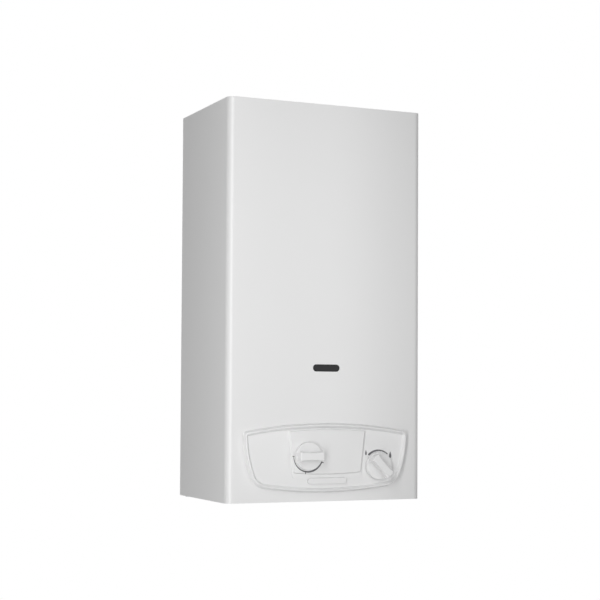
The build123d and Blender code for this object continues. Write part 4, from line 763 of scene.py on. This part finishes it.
class HEATER_OT_valves(bpy.types.Operator):
    """Finishes the gas and water valves"""

    bl_idname = "heater.valves"
    bl_label = "Gas and water valves"

    def execute(self, context):
        finish(pressed_brass(), "water_valve_body", "water_valve_cover", "drain_plug", "shelf_nut")
        finish(cast_aluminium(), "gas_valve_body", "gland_flange", "valve_pillars", "gas_supply_pipe")
        finish(moulded_rubber(), "diaphragm", "gas_valve_disc")
        return {"FINISHED"}


class HEATER_OT_ignition(bpy.types.Operator):
    """Finishes the control box, the battery and its box, the switch and the leads"""

    bl_idname = "heater.ignition"
    bl_label = "Ignition and leads"

    def execute(self, context):
        shades = colours()
        black = ("battery_box", "battery_lid", "micro_switch", "window_frame")
        finish(moulded_nylon("black_nylon", shades.nylon), *black)
        finish(moulded_nylon("grey_housing", shades.housing), "control_box")
        band_z = middle("battery_cell").z + 12 * MM
        finish(printed_foil(band_z), "battery_cell")
        finish(braided_sleeve("white_sleeve", shades.white_sleeve), "spark_lead", "sensor_lead")
        finish(braided_sleeve("brown_sleeve", shades.brown_sleeve), "thermostat_leads")
        finish(braided_sleeve("black_sleeve", shades.black_sleeve), "control_leads")
        return {"FINISHED"}


# Stage


def white_world(level):
    """A world that is white to the camera, in gloss and through glass, and lights things at a level."""
    world = bpy.data.worlds.new("white_world")
    world.use_nodes = True
    tree = world.node_tree
    tree.nodes.clear()
    path = add(tree, "LightPath").outputs
    seen = add(tree, "Math", {0: path["Is Camera Ray"], 1: path["Is Glossy Ray"]}, operation="MAXIMUM")
    seen = add(tree, "Math", {0: seen.outputs[0], 1: path["Is Transmission Ray"]}, operation="MAXIMUM")
    strength = add(tree, "MapRange", {"Value": seen.outputs[0], "To Min": level, "To Max": 1.0})
    background = add(tree, "Background", {"Color": (1, 1, 1, 1), "Strength": strength.outputs["Result"]})
    add(tree, "OutputWorld", {"Surface": background.outputs[0]})
    bpy.context.scene.world = world


def softbox(name, place, target, width, height, watts):
    """A rectangular studio lamp that faces its target."""
    lamp = bpy.data.lights.new(name, "AREA")
    lamp.shape = "RECTANGLE"
    lamp.size = width
    lamp.size_y = height
    lamp.energy = watts
    thing = bpy.data.objects.new(name, lamp)
    thing.location = place
    thing.rotation_euler = (Vector(target) - Vector(place)).to_track_quat("-Z", "Y").to_euler()
    bpy.context.scene.collection.objects.link(thing)
    return thing


def studio_floor(half, level):
    """A square floor, far enough below the heater that views from underneath stay clear of it."""
    mesh = bmesh.new()
    bmesh.ops.create_grid(mesh, x_segments=1, y_segments=1, size=half)
    bmesh.ops.translate(mesh, verts=mesh.verts, vec=(0, 0, level))
    data = bpy.data.meshes.new("floor")
    mesh.to_mesh(data)
    mesh.free()
    data.materials.append(painted_floor())
    floor = bpy.data.objects.new("floor", data)
    bpy.context.scene.collection.objects.link(floor)
    return floor


def studio_lamps(floor):
    """Three softboxes in front of the heater, and a lamp for the floor.

    The key lamp brightens the slopes that face left and leaves those that face right dark. The glow lamp lays
    a broad highlight on the front, and the fill lamp lifts the foot of the left side.
    """
    softbox("key_lamp", (-0.45, -0.72, 0.02), (-0.1, -0.2, -0.02), width=0.2, height=1.4, watts=4.5)
    softbox("glow_lamp", (0.33, -0.85, 0.02), (0.05, -0.2, 0.02), width=0.1, height=1.0, watts=1.6)
    softbox("fill_lamp", (-0.9, -0.4, -0.4), (-0.155, -0.1, -0.3), width=0.4, height=0.8, watts=0.6)
    # The floor's own lamp is linked to it alone, so that it stays pale and the heater keeps its shading
    overhead = softbox("floor_lamp", (0, 0, 1.2), (0, 0, -1), width=3, height=3, watts=90)
    overhead.visible_camera = False
    lit = bpy.data.collections.new("lit_by_floor_lamp")
    lit.objects.link(floor)
    overhead.light_linking.receiver_collection = lit


def photo_camera():
    """Camera at the photograph's viewing angle, worked out from the casing's six corners in it."""
    lens = bpy.data.cameras.new("camera")
    lens.lens = 88.67
    lens.sensor_width = 36
    lens.shift_y = 0.06
    lens.clip_start = 0.05
    camera = bpy.data.objects.new("camera", lens)
    yaw, pitch, roll = radians(23.93), radians(2.24), radians(0.32)
    place = (-0.90919, -2.14927, -0.13425)
    ahead = Vector((sin(yaw) * cos(pitch), cos(yaw) * cos(pitch), sin(pitch)))
    level = Vector((cos(yaw), -sin(yaw), 0))
    upright = level.cross(ahead)
    right = level * cos(roll) + upright * sin(roll)
    up = upright * cos(roll) - level * sin(roll)
    stance = Matrix((right, up, -ahead)).transposed().to_4x4()
    camera.matrix_world = Matrix.Translation(place) @ stance
    bpy.context.scene.collection.objects.link(camera)
    bpy.context.scene.camera = camera


class HEATER_OT_stage(bpy.types.Operator):
    """Sets the floor, the lamps and the camera"""

    bl_idname = "heater.stage"
    bl_label = "Stage"

    def execute(self, context):
        context.scene.view_settings.view_transform = "Standard"
        floor = studio_floor(half=2.6, level=-2.1)
        white_world(level=0.1)
        studio_lamps(floor)
        photo_camera()
        return {"FINISHED"}


# Panel and registration

OPERATORS = (
    HEATER_OT_casing,
    HEATER_OT_console,
    HEATER_OT_dial_marks,
    HEATER_OT_spigots,
    HEATER_OT_casing_screws,
    HEATER_OT_heat_exchanger,
    HEATER_OT_flue,
    HEATER_OT_spring,
    HEATER_OT_electrodes,
    HEATER_OT_valves,
    HEATER_OT_ignition,
    HEATER_OT_stage,
)


class HEATER_PT_panel(bpy.types.Panel):
    """Lists the heater's pieces, its colours and its sizes"""

    bl_label = "Heater"
    bl_idname = "HEATER_PT_panel"
    bl_space_type = "VIEW_3D"
    bl_region_type = "UI"
    bl_category = "Heater"

    def draw(self, context):
        for operator in OPERATORS:
            self.layout.operator(operator.bl_idname)
        for group in (context.scene.heater_colours, context.scene.heater_sizes):
            for name in group.__annotations__:
                self.layout.prop(group, name)


CLASSES = (HeaterColours, HeaterSizes, HEATER_PT_panel, *OPERATORS)


def register():
    for item in CLASSES:
        bpy.utils.register_class(item)
    bpy.types.Scene.heater_colours = bpy.props.PointerProperty(type=HeaterColours)
    bpy.types.Scene.heater_sizes = bpy.props.PointerProperty(type=HeaterSizes)


def unregister():
    del bpy.types.Scene.heater_sizes
    del bpy.types.Scene.heater_colours
    for item in reversed(CLASSES):
        bpy.utils.unregister_class(item)


def main():
    register()
    for operator in OPERATORS:
        name = operator.bl_idname.split(".")[1]
        if getattr(bpy.ops.heater, name)() != {"FINISHED"}:
            raise RuntimeError(f"{operator.bl_label} did not finish")


if __name__ == "__main__":
    main()
